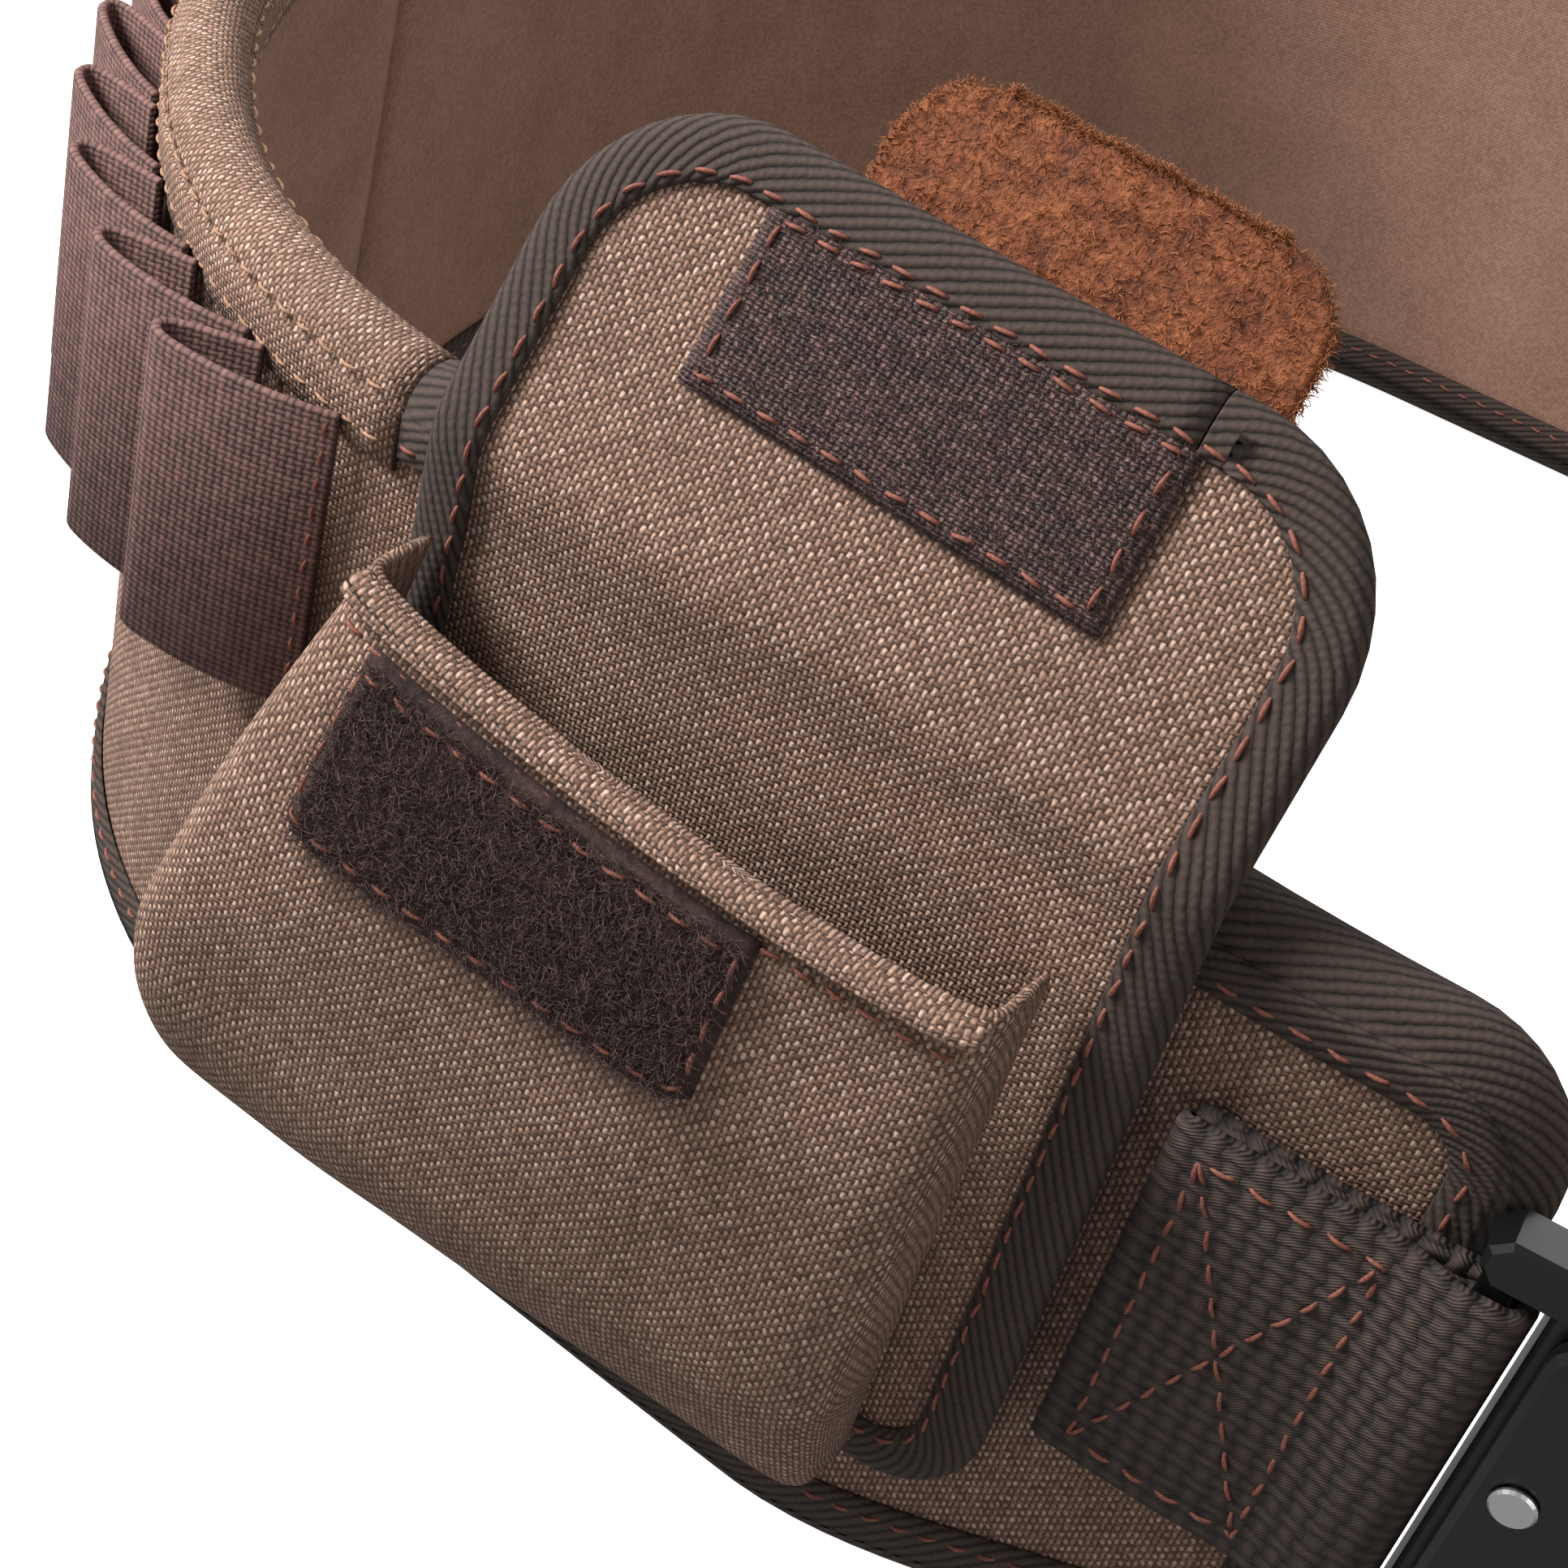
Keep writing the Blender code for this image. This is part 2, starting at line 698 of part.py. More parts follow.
def flap_frame():
    """Hinge point and the flap's directions: across, up its length, out of its face."""
    angle = heading_at(POUCH_PLACE + PANEL_SHIFT)
    across = Vector((-math.cos(angle), math.sin(angle), 0.0))
    outward = Vector((-math.sin(angle), -math.cos(angle), 0.0))
    lean = math.radians(FLAP_LEAN)
    length = Vector((0, 0, 1)) * math.cos(lean) - outward * math.sin(lean)
    face = outward * math.cos(lean) + Vector((0, 0, 1)) * math.sin(lean)
    return panel_space(0.0, HINGE_OUT, HINGE_Z), across, length, face


def flap_space(a, depth, b):
    hinge, across, length, face = flap_frame()
    return hinge + across * a + face * depth + length * b


def flap_outline(inset, foot):
    half = PANEL_WIDTH / 2 - inset
    top = FLAP_LENGTH - inset
    radius = FLAP_CORNER - inset
    return ([(-half, foot)] + arc((-half + radius, top - radius), radius, 180, 90, 6)
            + arc((half - radius, top - radius), radius, 90, 0, 6) + [(half, foot)])


def make_flap(parent):
    hinge = flap_frame()[0]
    pivot = bpy.data.objects.new("flap_pivot", None)
    bpy.context.scene.collection.objects.link(pivot)
    pivot.parent = parent
    pivot.location = hinge
    foot = FLAP_FOOT
    half = PANEL / 2

    def local(a, depth, b):
        return flap_space(a, depth, b) - hinge

    panel = prism(flap_outline(EDGE_INSET, foot), local, -half, half)
    add_object("flap_panel", panel, canvas_material(), parent=pivot)
    tape = channel(list(reversed(flap_outline(0.0, foot))), PANEL_BINDING_WIDTH, BINDING, half + GAP,
                   -half - GAP, local)
    add_object("flap_binding", tape, binding_material(), parent=pivot)
    hook = rounded_rectangle(-TAPE_LENGTH / 2, TAPE_LENGTH / 2, HOOK_TAPE_PLACE,
                             HOOK_TAPE_PLACE + TAPE_WIDTH, 0.001, 2)
    room = FLAP_LENGTH - PANEL_BINDING_WIDTH - GAP - HOOK_TAPE_PLACE
    hook = [(a, min(b, HOOK_TAPE_PLACE + room)) for a, b in hook]
    add_object("hook_tape", prism(hook, local, half + GAP, half + GAP + HOOK_TAPE),
               hook_tape_material(), parent=pivot)
    back = -half - 2 * GAP - BINDING
    tab = rounded_rectangle(TAB_SHIFT - TAB_WIDTH / 2, TAB_SHIFT + TAB_WIDTH / 2,
                            FLAP_LENGTH - TAB_ROOT, FLAP_LENGTH + TAB_REACH, 0.009, 5)
    add_object("leather_tab", prism(tab, local, back - LEATHER, back), leather_material(), parent=pivot)


# ---------------------------------------------------------------- webbing and buckle

WEB_BACK = BINDING + 2 * GAP
BAR_BACK = WEB_BACK + WEB + GAP
BODY_FACE = BODY_BACK + BODY_THICK
CHANNEL_FLOOR = BODY_BACK + FLOOR_THICK
COVER_FACE = BODY_FACE + GAP + COVER_THICK
TONGUE_BACK = CHANNEL_FLOOR + SLIDE_GAP
TONGUE_FACE = BODY_FACE - SLIDE_GAP
MALE_START = BODY_END + SLIDE_GAP
MALE_END = MALE_START + MALE_LENGTH
WEB_HALF = WEB_WIDTH / 2
RAIL_INNER = WEB_HALF + 0.0015


def strip_along(line, thickness, half_width, to_space):
    """Flat strip whose middle line is given as (along, out)."""
    rings = []
    for i, here in enumerate(line):
        before = Vector(line[max(i - 1, 0)])
        after = Vector(line[min(i + 1, len(line) - 1)])
        run = (after - before).normalized()
        side = Vector((-run.y, run.x)) * thickness / 2
        rings.append([to_space(here[0] + side.x, here[1] + side.y, -half_width),
                      to_space(here[0] + side.x, here[1] + side.y, half_width),
                      to_space(here[0] - side.x, here[1] - side.y, half_width),
                      to_space(here[0] - side.x, here[1] - side.y, -half_width)])
    return loft(rings)


def band_web(s, out, up):
    return place(s, out, WEB_CENTRE + up)


def make_left_webbing(parent):
    """Webbing sewn to the band, round the buckle's bar and back over itself."""
    back = WEB_BACK + WEB / 2
    over = BAR_BACK + BAR_THICK + GAP + WEB / 2
    radius = (over - back) / 2
    centre = (-BAR_PLACE, back + radius)
    lead = BAR_WIDTH / 2 - BAR_THICK / 2
    turn = [(centre[0] - lead - radius * math.sin(math.radians(a)),
             centre[1] - radius * math.cos(math.radians(a))) for a in range(0, 181, 20)]
    sewn = back + WEB + GAP
    line = [(WEB_SEWN, back), (0.022, back), (0.010, back)] + turn
    line += [(centre[0] + 0.0035, over - 0.0001), (0.0085, sewn + 0.0009), (0.0125, sewn),
             (0.022, sewn), (WEB_SEWN, sewn)]
    add_object("webbing_left", strip_along(line, WEB, WEB_HALF, band_web), web_material(), parent=parent)


def make_right_webbing(parent):
    """Webbing sewn to the band's right end, which runs on behind the buckle's male half."""
    out = WEB_BACK + WEB / 2
    first = BAND_LENGTH - WEB_SEWN
    last = BAND_LENGTH + FRONT_GAP - MALE_START - MALE_RAIL
    sewn = [first + WEB_SEWN * i / 4 for i in range(5)]
    line = [(s, out) for s in sewn + [last]]
    add_object("webbing_right", strip_along(line, WEB, WEB_HALF, band_web), web_material(), parent=parent)


def body_outline():
    left = BAR_PLACE - ARM_REACH
    inner = RAIL_INNER
    outer = inner + ARM_WIDTH
    upper = [(BODY_START, inner), (left + 0.0015, inner), (left, inner + 0.0018), (left, outer - 0.0018),
             (left + 0.0018, outer), (BODY_START + 0.004, outer), (BODY_START + 0.008, BODY_HALF + 0.0006),
             (BODY_START + 0.011, BODY_HALF), (BODY_END - 0.003, BODY_HALF), (BODY_END, BODY_HALF - 0.003)]
    return upper + [(x, -up) for x, up in reversed(upper)]


def make_buckle_body(parent):
    body = add_object("buckle_body", prism(body_outline(), front, BODY_BACK, BODY_FACE, 0.0006),
                      black_metal(), parent=parent)
    open_end = BODY_END + 0.002
    above = BODY_FACE + 0.002
    cut(body, "cut_channel", box((CHANNEL_START, CHANNEL_FLOOR, -CHANNEL_HALF),
                                 (open_end, above, CHANNEL_HALF), front))
    for side, name in ((1, "upper"), (-1, "lower")):
        near = CHANNEL_HALF + CHANNEL_WALL
        low, high = sorted((side * near, side * (BODY_HALF + 0.003)))
        cut(body, f"cut_pocket_{name}", box((LEVER_START - SLIDE_GAP, CHANNEL_FLOOR, low),
                                            (LEVER_END + SLIDE_GAP, above, high), front))
    outline = rounded_rectangle(BODY_START + COVER_INSET, BODY_END - COVER_INSET / 2,
                                -BODY_HALF + COVER_INSET, BODY_HALF - COVER_INSET, 0.004)
    cover = add_object("buckle_cover", prism(outline, front, BODY_FACE + GAP, COVER_FACE, 0.0008),
                       black_metal(), parent=parent)
    middle = (BODY_START + BODY_END) / 2 + 0.001
    cut(cover, "cut_recess", drum(RECESS_RADIUS, COVER_FACE - RECESS_DEPTH, COVER_FACE + 0.001,
                                  middle, 0.0, 32))
    for number, (x, up) in enumerate(RIVET_PLACES, 1):
        hole = RIVET_RADIUS + GAP
        cut(body, f"cut_body_hole_{number}", drum(hole, BODY_BACK - 0.001, above, x, up))
        cut(cover, f"cut_cover_hole_{number}", drum(hole, BODY_FACE - 0.001, COVER_FACE + 0.001, x, up))
        make_rivet(number, x, up, parent)


def make_rivet(number, x, up, parent):
    """Round headed rivet with a shank through the cover and the body."""
    levels = [(BODY_BACK + GAP, RIVET_RADIUS * 0.85), (BODY_BACK + 2 * GAP, RIVET_RADIUS),
              (COVER_FACE + GAP, RIVET_RADIUS), (COVER_FACE + GAP, RIVET_HEAD),
              (COVER_FACE + 0.0006, RIVET_HEAD), (COVER_FACE + 0.0009, RIVET_HEAD * 0.88)]
    rings = []
    for out, radius in levels:
        circle = arc((x, up), radius, 0, 345, 23)
        rings.append([front(a, out, b) for a, b in circle])
    add_object(f"rivet_{number}", loft(rings), steel(), parent=parent)


def make_bar(name, x, out, half_length, parent):
    """Flat bar with rounded long edges, which the webbing goes round."""
    outline = rounded_rectangle(x - BAR_WIDTH / 2, x + BAR_WIDTH / 2, out, out + BAR_THICK,
                                BAR_THICK * 0.45, 3)

    def upright(a, depth, b):
        return front(a, b, depth)

    add_object(name, prism(outline, upright, -half_length, half_length), black_metal(), parent=parent)


def make_levers(parent):
    """Two sprung release buttons in the buckle's sides, with their springs."""
    near = CHANNEL_HALF + CHANNEL_WALL
    seat = near + GAP
    inner = seat + SPRING_LENGTH + GAP
    pad = BODY_HALF + LEVER_TRAVEL + SLIDE_GAP
    back, face = CHANNEL_FLOOR + GAP, BODY_FACE - GAP
    for side, name in ((1, "upper"), (-1, "lower")):
        stem = [(LEVER_START, inner), (LEVER_END, inner), (LEVER_END, pad), (LEVER_END + 0.002, pad),
                (LEVER_END + 0.0028, pad + 0.0008), (LEVER_END + 0.0015, pad + LEVER_PAD),
                (LEVER_START - 0.0015, pad + LEVER_PAD), (LEVER_START - 0.0028, pad + 0.0008),
                (LEVER_START - 0.002, pad), (LEVER_START, pad)]
        outline = [(x, side * up) for x, up in stem]
        origin = front((LEVER_START + LEVER_END) / 2, (back + face) / 2, side * inner)
        add_object(f"release_button_{name}", prism(outline, front, back, face, 0.0004), black_metal(),
                   origin=origin - parent.location, parent=parent)
        middle = (LEVER_START + LEVER_END) / 2
        add_object(f"release_spring_{name}", coil(middle, (back + face) / 2, side * seat, side),
                   steel(), parent=parent)


def coil(x, out, start, side):
    """Helical spring along Z with a round wire and closed ends."""
    steps = SPRING_TURNS * 10
    length = SPRING_LENGTH - 2 * SPRING_WIRE
    rings = []
    for i in range(steps + 1):
        turn = 2 * math.pi * i / 10
        along = start + side * (SPRING_WIRE + length * i / steps)
        radial = Vector((math.cos(turn), math.sin(turn)))
        ring = []
        for k in range(6):
            angle = 2 * math.pi * k / 6
            reach = SPRING_RADIUS + SPRING_WIRE * math.cos(angle)
            ring.append(front(x + radial.x * reach, out + radial.y * reach,
                              along + SPRING_WIRE * math.sin(angle)))
        rings.append(ring)
    return loft(rings)


def make_male_half(parent):
    """Tongue with its strap frame, the frame's bar, and the webbing's free end."""
    slide = bpy.data.objects.new("tongue_slide", None)
    bpy.context.scene.collection.objects.link(slide)
    slide.parent = parent
    tongue_half = CHANNEL_HALF - SLIDE_GAP
    nose = CHANNEL_START + SLIDE_GAP
    outer = RAIL_INNER + ARM_WIDTH * 0.75
    upper = [(nose, tongue_half - 0.006), (nose + 0.005, tongue_half), (nose + 0.011, tongue_half),
             (nose + 0.012, tongue_half - 0.003), (nose + 0.015, tongue_half - 0.003),
             (nose + 0.016, tongue_half), (MALE_START, tongue_half), (MALE_START, outer - 0.003),
             (MALE_START + 0.003, outer), (MALE_END - 0.003, outer), (MALE_END, outer - 0.003)]
    outline = upper + [(x, -up) for x, up in reversed(upper)]
    frame = add_object("tongue_frame", prism(outline, front, TONGUE_BACK, TONGUE_FACE, 0.0005),
                       black_metal(), parent=slide)
    slot_start = MALE_START + MALE_RAIL
    slot_end = slot_start + MALE_SLOT
    cut(frame, "cut_strap_slot", box((slot_start, TONGUE_BACK - 0.001, -RAIL_INNER),
                                     (slot_end, TONGUE_FACE + 0.001, RAIL_INNER), front))
    bar = (slot_start + slot_end) / 2
    bar_out = (TONGUE_BACK + TONGUE_FACE - BAR_THICK) / 2
    make_bar("adjuster_bar", bar, bar_out, RAIL_INNER - GAP, slide)
    over = TONGUE_FACE + GAP + WEB / 2
    side = bar - BAR_WIDTH / 2 - GAP - WEB / 2
    line = [(side, bar_out), (side, bar_out + 0.0010), (side + 0.0006, over - 0.0006),
            (side + 0.0022, over), (bar, over), (slot_end, over), (MALE_END + 0.004, over),
            (TAIL_END, over)]
    add_object("webbing_tail", strip_along(line, WEB, WEB_HALF, front), web_material(), parent=slide)
    return over + WEB / 2


def make_keeper(parent, tail_face):
    """Elastic band round the webbing and its free end."""
    start = FRONT_GAP - KEEPER_FROM_END - KEEPER_WIDTH
    back, face = WEB_BACK - GAP, tail_face + GAP
    half = WEB_HALF + GAP
    wall = KEEPER_WALL
    inner = rounded_rectangle(back, face, -half, half, 0.0004, 2)
    outer = rounded_rectangle(back - wall, face + wall, -half - wall, half + wall, 0.0012, 2)
    rings = [[front(start, a, b) for a, b in outer], [front(start + KEEPER_WIDTH, a, b) for a, b in outer],
             [front(start + KEEPER_WIDTH, a, b) for a, b in inner], [front(start, a, b) for a, b in inner]]
    add_object("strap_keeper", loft(rings, closed=True), elastic_material(), parent=parent)


def make_buckle(parent):
    make_left_webbing(parent)
    make_right_webbing(parent)
    make_buckle_body(parent)
    make_bar("strap_bar", BAR_PLACE, BAR_BACK, RAIL_INNER - GAP, parent)
    make_levers(parent)
    tail_face = make_male_half(parent)
    make_keeper(parent, tail_face)


# ---------------------------------------------------------------- assembly

def centre_on_floor(root):
    """Move the whole belt so that the middle of its box is at X = Y = 0."""
    bpy.context.view_layer.update()
    corners = []
    for piece in bpy.data.objects:
        if piece.type == "MESH" and not piece.hide_render:
            corners += [piece.matrix_world @ vertex.co for vertex in piece.data.vertices]
    middle_x = (min(c.x for c in corners) + max(c.x for c in corners)) / 2
    middle_y = (min(c.y for c in corners) + max(c.y for c in corners)) / 2
    root.location = (-middle_x, -middle_y, 0.0)
    bpy.context.view_layer.update()


def main():
    for old in list(bpy.data.objects):
        bpy.data.objects.remove(old, do_unlink=True)
    root = bpy.data.objects.new("tool_belt", None)
    bpy.context.scene.collection.objects.link(root)
    make_band(root)
    make_loops(root)
    make_pouch(root)
    make_flap(root)
    make_buckle(root)
    centre_on_floor(root)


main()
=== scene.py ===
import json
import math
import random

import bmesh
import bpy
from mathutils import Matrix, Vector, noise


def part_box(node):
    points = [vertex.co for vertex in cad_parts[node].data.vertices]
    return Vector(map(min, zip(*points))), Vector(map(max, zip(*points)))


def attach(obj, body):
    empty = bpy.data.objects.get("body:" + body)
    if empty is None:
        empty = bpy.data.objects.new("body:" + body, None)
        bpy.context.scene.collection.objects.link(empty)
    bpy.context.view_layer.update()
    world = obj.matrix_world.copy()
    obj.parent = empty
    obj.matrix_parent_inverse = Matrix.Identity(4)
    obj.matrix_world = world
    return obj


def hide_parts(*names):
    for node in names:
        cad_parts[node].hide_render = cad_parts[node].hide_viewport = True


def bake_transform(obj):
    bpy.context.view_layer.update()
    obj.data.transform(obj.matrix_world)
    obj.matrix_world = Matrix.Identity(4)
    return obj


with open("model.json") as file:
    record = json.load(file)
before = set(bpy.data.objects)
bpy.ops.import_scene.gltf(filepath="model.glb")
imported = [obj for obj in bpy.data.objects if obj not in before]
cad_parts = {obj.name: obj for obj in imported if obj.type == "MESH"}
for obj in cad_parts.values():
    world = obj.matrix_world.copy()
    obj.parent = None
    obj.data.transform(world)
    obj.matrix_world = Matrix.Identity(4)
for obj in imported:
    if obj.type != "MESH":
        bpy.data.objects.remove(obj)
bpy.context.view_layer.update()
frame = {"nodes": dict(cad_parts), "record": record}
joints = {joint["name"]: joint for joint in frame["record"]["behaviour"]["joints"]}
nodes = frame["nodes"]
mm = 0.001
detail = 1

# the way round the band: s runs from its left end, out is away from its outer face
plan = {
    "frontBends": [(10, 0.0), (33, 8.5), (97, 2.0), (67, 42.5), (75, 32.0)],
    "sideStraight": 50,
    "backRadius": 150,
    "frontRightRadius": 95,
    "rightStraight": 12,
    "gap": 108,
    "pouchAt": 88,
    "panelShift": -2,
}


def walkRuns(runs):
    s, x, y, heading = 0.0, 0.0, 0.0, 0.0
    stops = []
    for length, turn in runs:
        stops.append((s, x, y, heading, length, turn))
        x, y = stepAlong(x, y, heading, length, turn, length)
        heading += turn
        s += length
    stops.append((s, x, y, heading, 0.0, 0.0))
    return stops


def stepAlong(x, y, heading, length, turn, way):
    if abs(turn) < 1e-9:
        return x - way * math.cos(heading), y + way * math.sin(heading)
    radius = length / turn
    bend = heading + way / radius
    return (x - radius * (math.sin(bend) - math.sin(heading)),
            y - radius * (math.cos(bend) - math.cos(heading)))


def planRuns():
    quarter = math.pi / 2
    runs = [(length * mm, math.radians(turn)) for length, turn in plan["frontBends"]]
    back, corner = plan["backRadius"] * mm, plan["frontRightRadius"] * mm
    backTurn = math.pi - sum(turn for _, turn in runs)
    runs += [(plan["sideStraight"] * mm, 0.0), (back * backTurn, backTurn)]
    reach = walkRuns(runs)[-1]
    straight = plan["gap"] * mm - reach[1] - (back - corner - plan["rightStraight"] * mm)
    runs += [(straight, 0.0), (back * quarter, quarter), (reach[2] - back - corner, 0.0),
             (corner * quarter, quarter), (plan["rightStraight"] * mm, 0.0)]
    return walkRuns(runs)


runs = planRuns()
bandLength = runs[-1][0]


def headingAt(s):
    for start, _, _, heading, length, turn in reversed(runs):
        if s >= start:
            return heading + (turn * (s - start) / length if length > 0 else 0.0)
    return 0.0


def localPlace(s, out, z):
    x, y = -s, 0.0
    for start, sx, sy, heading, length, turn in reversed(runs):
        if s >= start:
            x, y = stepAlong(sx, sy, heading, length, turn, s - start)
            break
    angle = headingAt(s)
    return Vector((x - out * math.sin(angle), y - out * math.cos(angle), z))


hinge = Vector(joints["flap_hinge"]["pos_m"])
hingeOut = 3.65 * mm
pouchAt = plan["pouchAt"] * mm
panelAt = pouchAt + plan["panelShift"] * mm
bandStart = hinge - localPlace(panelAt, hingeOut, hinge.z)
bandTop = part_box("edge_binding_left")[1].z


def place(s, out, z):
    return localPlace(s, out, z) + bandStart


def outward(s):
    angle = headingAt(s)
    return Vector((-math.sin(angle), -math.cos(angle), 0.0))



def newMaterial(name, roughness, colour=(0.5, 0.5, 0.5), metallic=0.0, sheen=0.0):
    made = bpy.data.materials.new(name)
    made.use_nodes = True
    tree = made.node_tree
    shader = tree.nodes["Principled BSDF"]
    shader.inputs["Base Color"].default_value = (*colour, 1)
    shader.inputs["Roughness"].default_value = roughness
    shader.inputs["Metallic"].default_value = metallic
    if sheen:
        shader.inputs["Sheen Weight"].default_value = sheen
        shader.inputs["Sheen Roughness"].default_value = 0.6
    return made, tree, shader


def feed(tree, slot, value):
    # value is a number, a colour or another node's output
    if isinstance(value, (int, float)):
        slot.default_value = value
    elif isinstance(value, tuple):
        slot.default_value = (*value, 1)
    else:
        tree.links.new(value, slot)


def calc(tree, operation, *values):
    node = tree.nodes.new("ShaderNodeMath")
    node.operation = operation
    for slot, value in zip(node.inputs, values):
        feed(tree, slot, value)
    return node.outputs[0]


def clothCoordinates(tree):
    # the cloth's own length and width in millimetres
    uv = tree.nodes.new("ShaderNodeUVMap")
    split = tree.nodes.new("ShaderNodeSeparateXYZ")
    tree.links.new(uv.outputs[0], split.inputs[0])
    return tuple(calc(tree, "MULTIPLY", split.outputs[axis], 1000) for axis in (0, 1))


def joined(tree, x, y):
    node = tree.nodes.new("ShaderNodeCombineXYZ")
    feed(tree, node.inputs[0], x)
    feed(tree, node.inputs[1], y)
    return node.outputs[0]


def noiseOf(tree, where, scale, fine=2.0, rough=0.5):
    node = tree.nodes.new("ShaderNodeTexNoise")
    node.inputs["Scale"].default_value = scale
    node.inputs["Detail"].default_value = fine
    node.inputs["Roughness"].default_value = rough
    if where is not None:
        tree.links.new(where, node.inputs["Vector"])
    return node.outputs[0]


def speckle(tree, where):
    node = tree.nodes.new("ShaderNodeTexWhiteNoise")
    node.noise_dimensions = "2D"
    tree.links.new(where, node.inputs["Vector"])
    return node.outputs["Value"]


def ramp(tree, value, *stops):
    node = tree.nodes.new("ShaderNodeValToRGB")
    tree.links.new(value, node.inputs[0])
    elements = node.color_ramp.elements
    while len(elements) < len(stops):
        elements.new(0.5)
    for element, (spot, colour) in zip(elements, stops):
        element.position = spot
        element.color = (*colour, 1)
    return node.outputs[0]


def blendColour(tree, share, first, second, way="MIX"):
    node = tree.nodes.new("ShaderNodeMix")
    node.data_type = "RGBA"
    node.blend_type = way
    for slot, value in ((0, share), (6, first), (7, second)):
        feed(tree, node.inputs[slot], value)
    return node.outputs[2]


def finishLook(tree, shader, colour, height, relief, strength=1.0):
    # relief is in millimetres
    tree.links.new(colour, shader.inputs["Base Color"])
    bump(tree, shader, height, relief * mm, strength)


def bump(tree, shader, height, distance, strength=1.0):
    node = tree.nodes.new("ShaderNodeBump")
    node.inputs["Strength"].default_value = strength
    node.inputs["Distance"].default_value = distance
    tree.links.new(height, node.inputs["Height"])
    tree.links.new(node.outputs[0], shader.inputs["Normal"])


def plainWeave(tree, u, v, pitchU, pitchV):
    # two sets of round yarns that pass over and under each other
    x, y = calc(tree, "DIVIDE", u, pitchU), calc(tree, "DIVIDE", v, pitchV)
    cellX, cellY = calc(tree, "FLOOR", x), calc(tree, "FLOOR", y)
    pi = math.pi
    warpRound = calc(tree, "ABSOLUTE", calc(tree, "SINE", calc(tree, "MULTIPLY", x, pi)))
    weftRound = calc(tree, "ABSOLUTE", calc(tree, "SINE", calc(tree, "MULTIPLY", y, pi)))
    warpWave = calc(tree, "SINE", calc(tree, "MULTIPLY", calc(tree, "ADD", y, cellX), pi))
    weftWave = calc(tree, "SINE", calc(tree, "MULTIPLY", calc(tree, "ADD", x, cellY), pi))
    warp = calc(tree, "MULTIPLY", warpRound, calc(tree, "MULTIPLY_ADD", warpWave, 0.42, 0.58))
    weft = calc(tree, "MULTIPLY", weftRound, calc(tree, "MULTIPLY_ADD", weftWave, -0.42, 0.58))
    top = calc(tree, "GREATER_THAN", warp, weft)
    return calc(tree, "MAXIMUM", warp, weft), top, joined(tree, cellX, cellY)


def wobble(tree, u, v, amount, scale):
    # lets the yarns wander a little, as spun yarn does
    elsewhere = joined(tree, calc(tree, "ADD", v, 37.0), u)
    moved = []
    for way, where in ((u, joined(tree, u, v)), (v, elsewhere)):
        shift = calc(tree, "SUBTRACT", noiseOf(tree, where, scale, 1.0), 0.5)
        moved.append(calc(tree, "MULTIPLY_ADD", shift, amount, way))
    return moved


# gap is a painted shade colour, laid into the hollows between the yarns
canvasLook = {
    "pitchU": 0.70, "pitchV": 0.67, "gap": (0.045, 0.024, 0.016),
    "light": ((0.33, 0.192, 0.134), (0.45, 0.275, 0.197), (0.61, 0.42, 0.325)),
    "dark": ((0.130, 0.070, 0.047), (0.270, 0.156, 0.109)), "relief": 0.24,
}


def canvasCloth(name="canvasCloth", paintedLightScale=1.0):
    # pale yarns one way, dark yarns the other
    look = canvasLook
    made, tree, shader = newMaterial(name, 0.95)
    u, v = clothCoordinates(tree)
    u, v = wobble(tree, u, v, 0.42, 0.7)
    height, top, cell = plainWeave(tree, u, v, look["pitchU"], look["pitchV"])
    where = joined(tree, u, v)
    low, mid, high = look["light"]
    lightYarn = ramp(tree, speckle(tree, cell), (0.0, low), (0.55, mid), (1.0, high))
    darkYarn = ramp(tree, speckle(tree, cell), (0.0, look["dark"][0]), (1.0, look["dark"][1]))
    yarn = blendColour(tree, top, darkYarn, lightYarn)
    strand = noiseOf(tree, where, 3.2, 3.0, 0.6)
    strand = ramp(tree, strand, (0.32, (0.66, 0.66, 0.66)), (0.68, (1.3, 1.3, 1.3)))
    yarn = blendColour(tree, 1.0, yarn, strand, "MULTIPLY")
    # painted shade: where the yarns dip low, the colour is pulled towards the dark gap colour
    paintedHollowShade = ramp(tree, height, (0.10, (0, 0, 0)), (0.72, (1, 1, 1)))
    colour = blendColour(tree, paintedHollowShade, look["gap"], yarn)
    patches = noiseOf(tree, where, 0.045, 3.0)
    patches = ramp(tree, patches, (0.3, (0.84, 0.83, 0.82)), (0.7, (1.08, 1.07, 1.06)))
    colour = blendColour(tree, 1.0, colour, patches, "MULTIPLY")
    # scales the whole colour; the hem copy is made brighter as painted light on the top edges
    colour = blendColour(tree, 1.0, colour, (paintedLightScale, paintedLightScale, paintedLightScale), "MULTIPLY")
    fuzzy = calc(tree, "MULTIPLY_ADD", noiseOf(tree, where, 4.0, 2.0), 0.3, height)
    finishLook(tree, shader, colour, fuzzy, look["relief"], 0.95)
    return made


tapeLook = {
    "rib": 1.2, "twist": 1.1, "lean": -27, "dark": (0.005, 0.003, 0.002), "light": (0.066, 0.043, 0.033),
    "relief": 0.25,
}


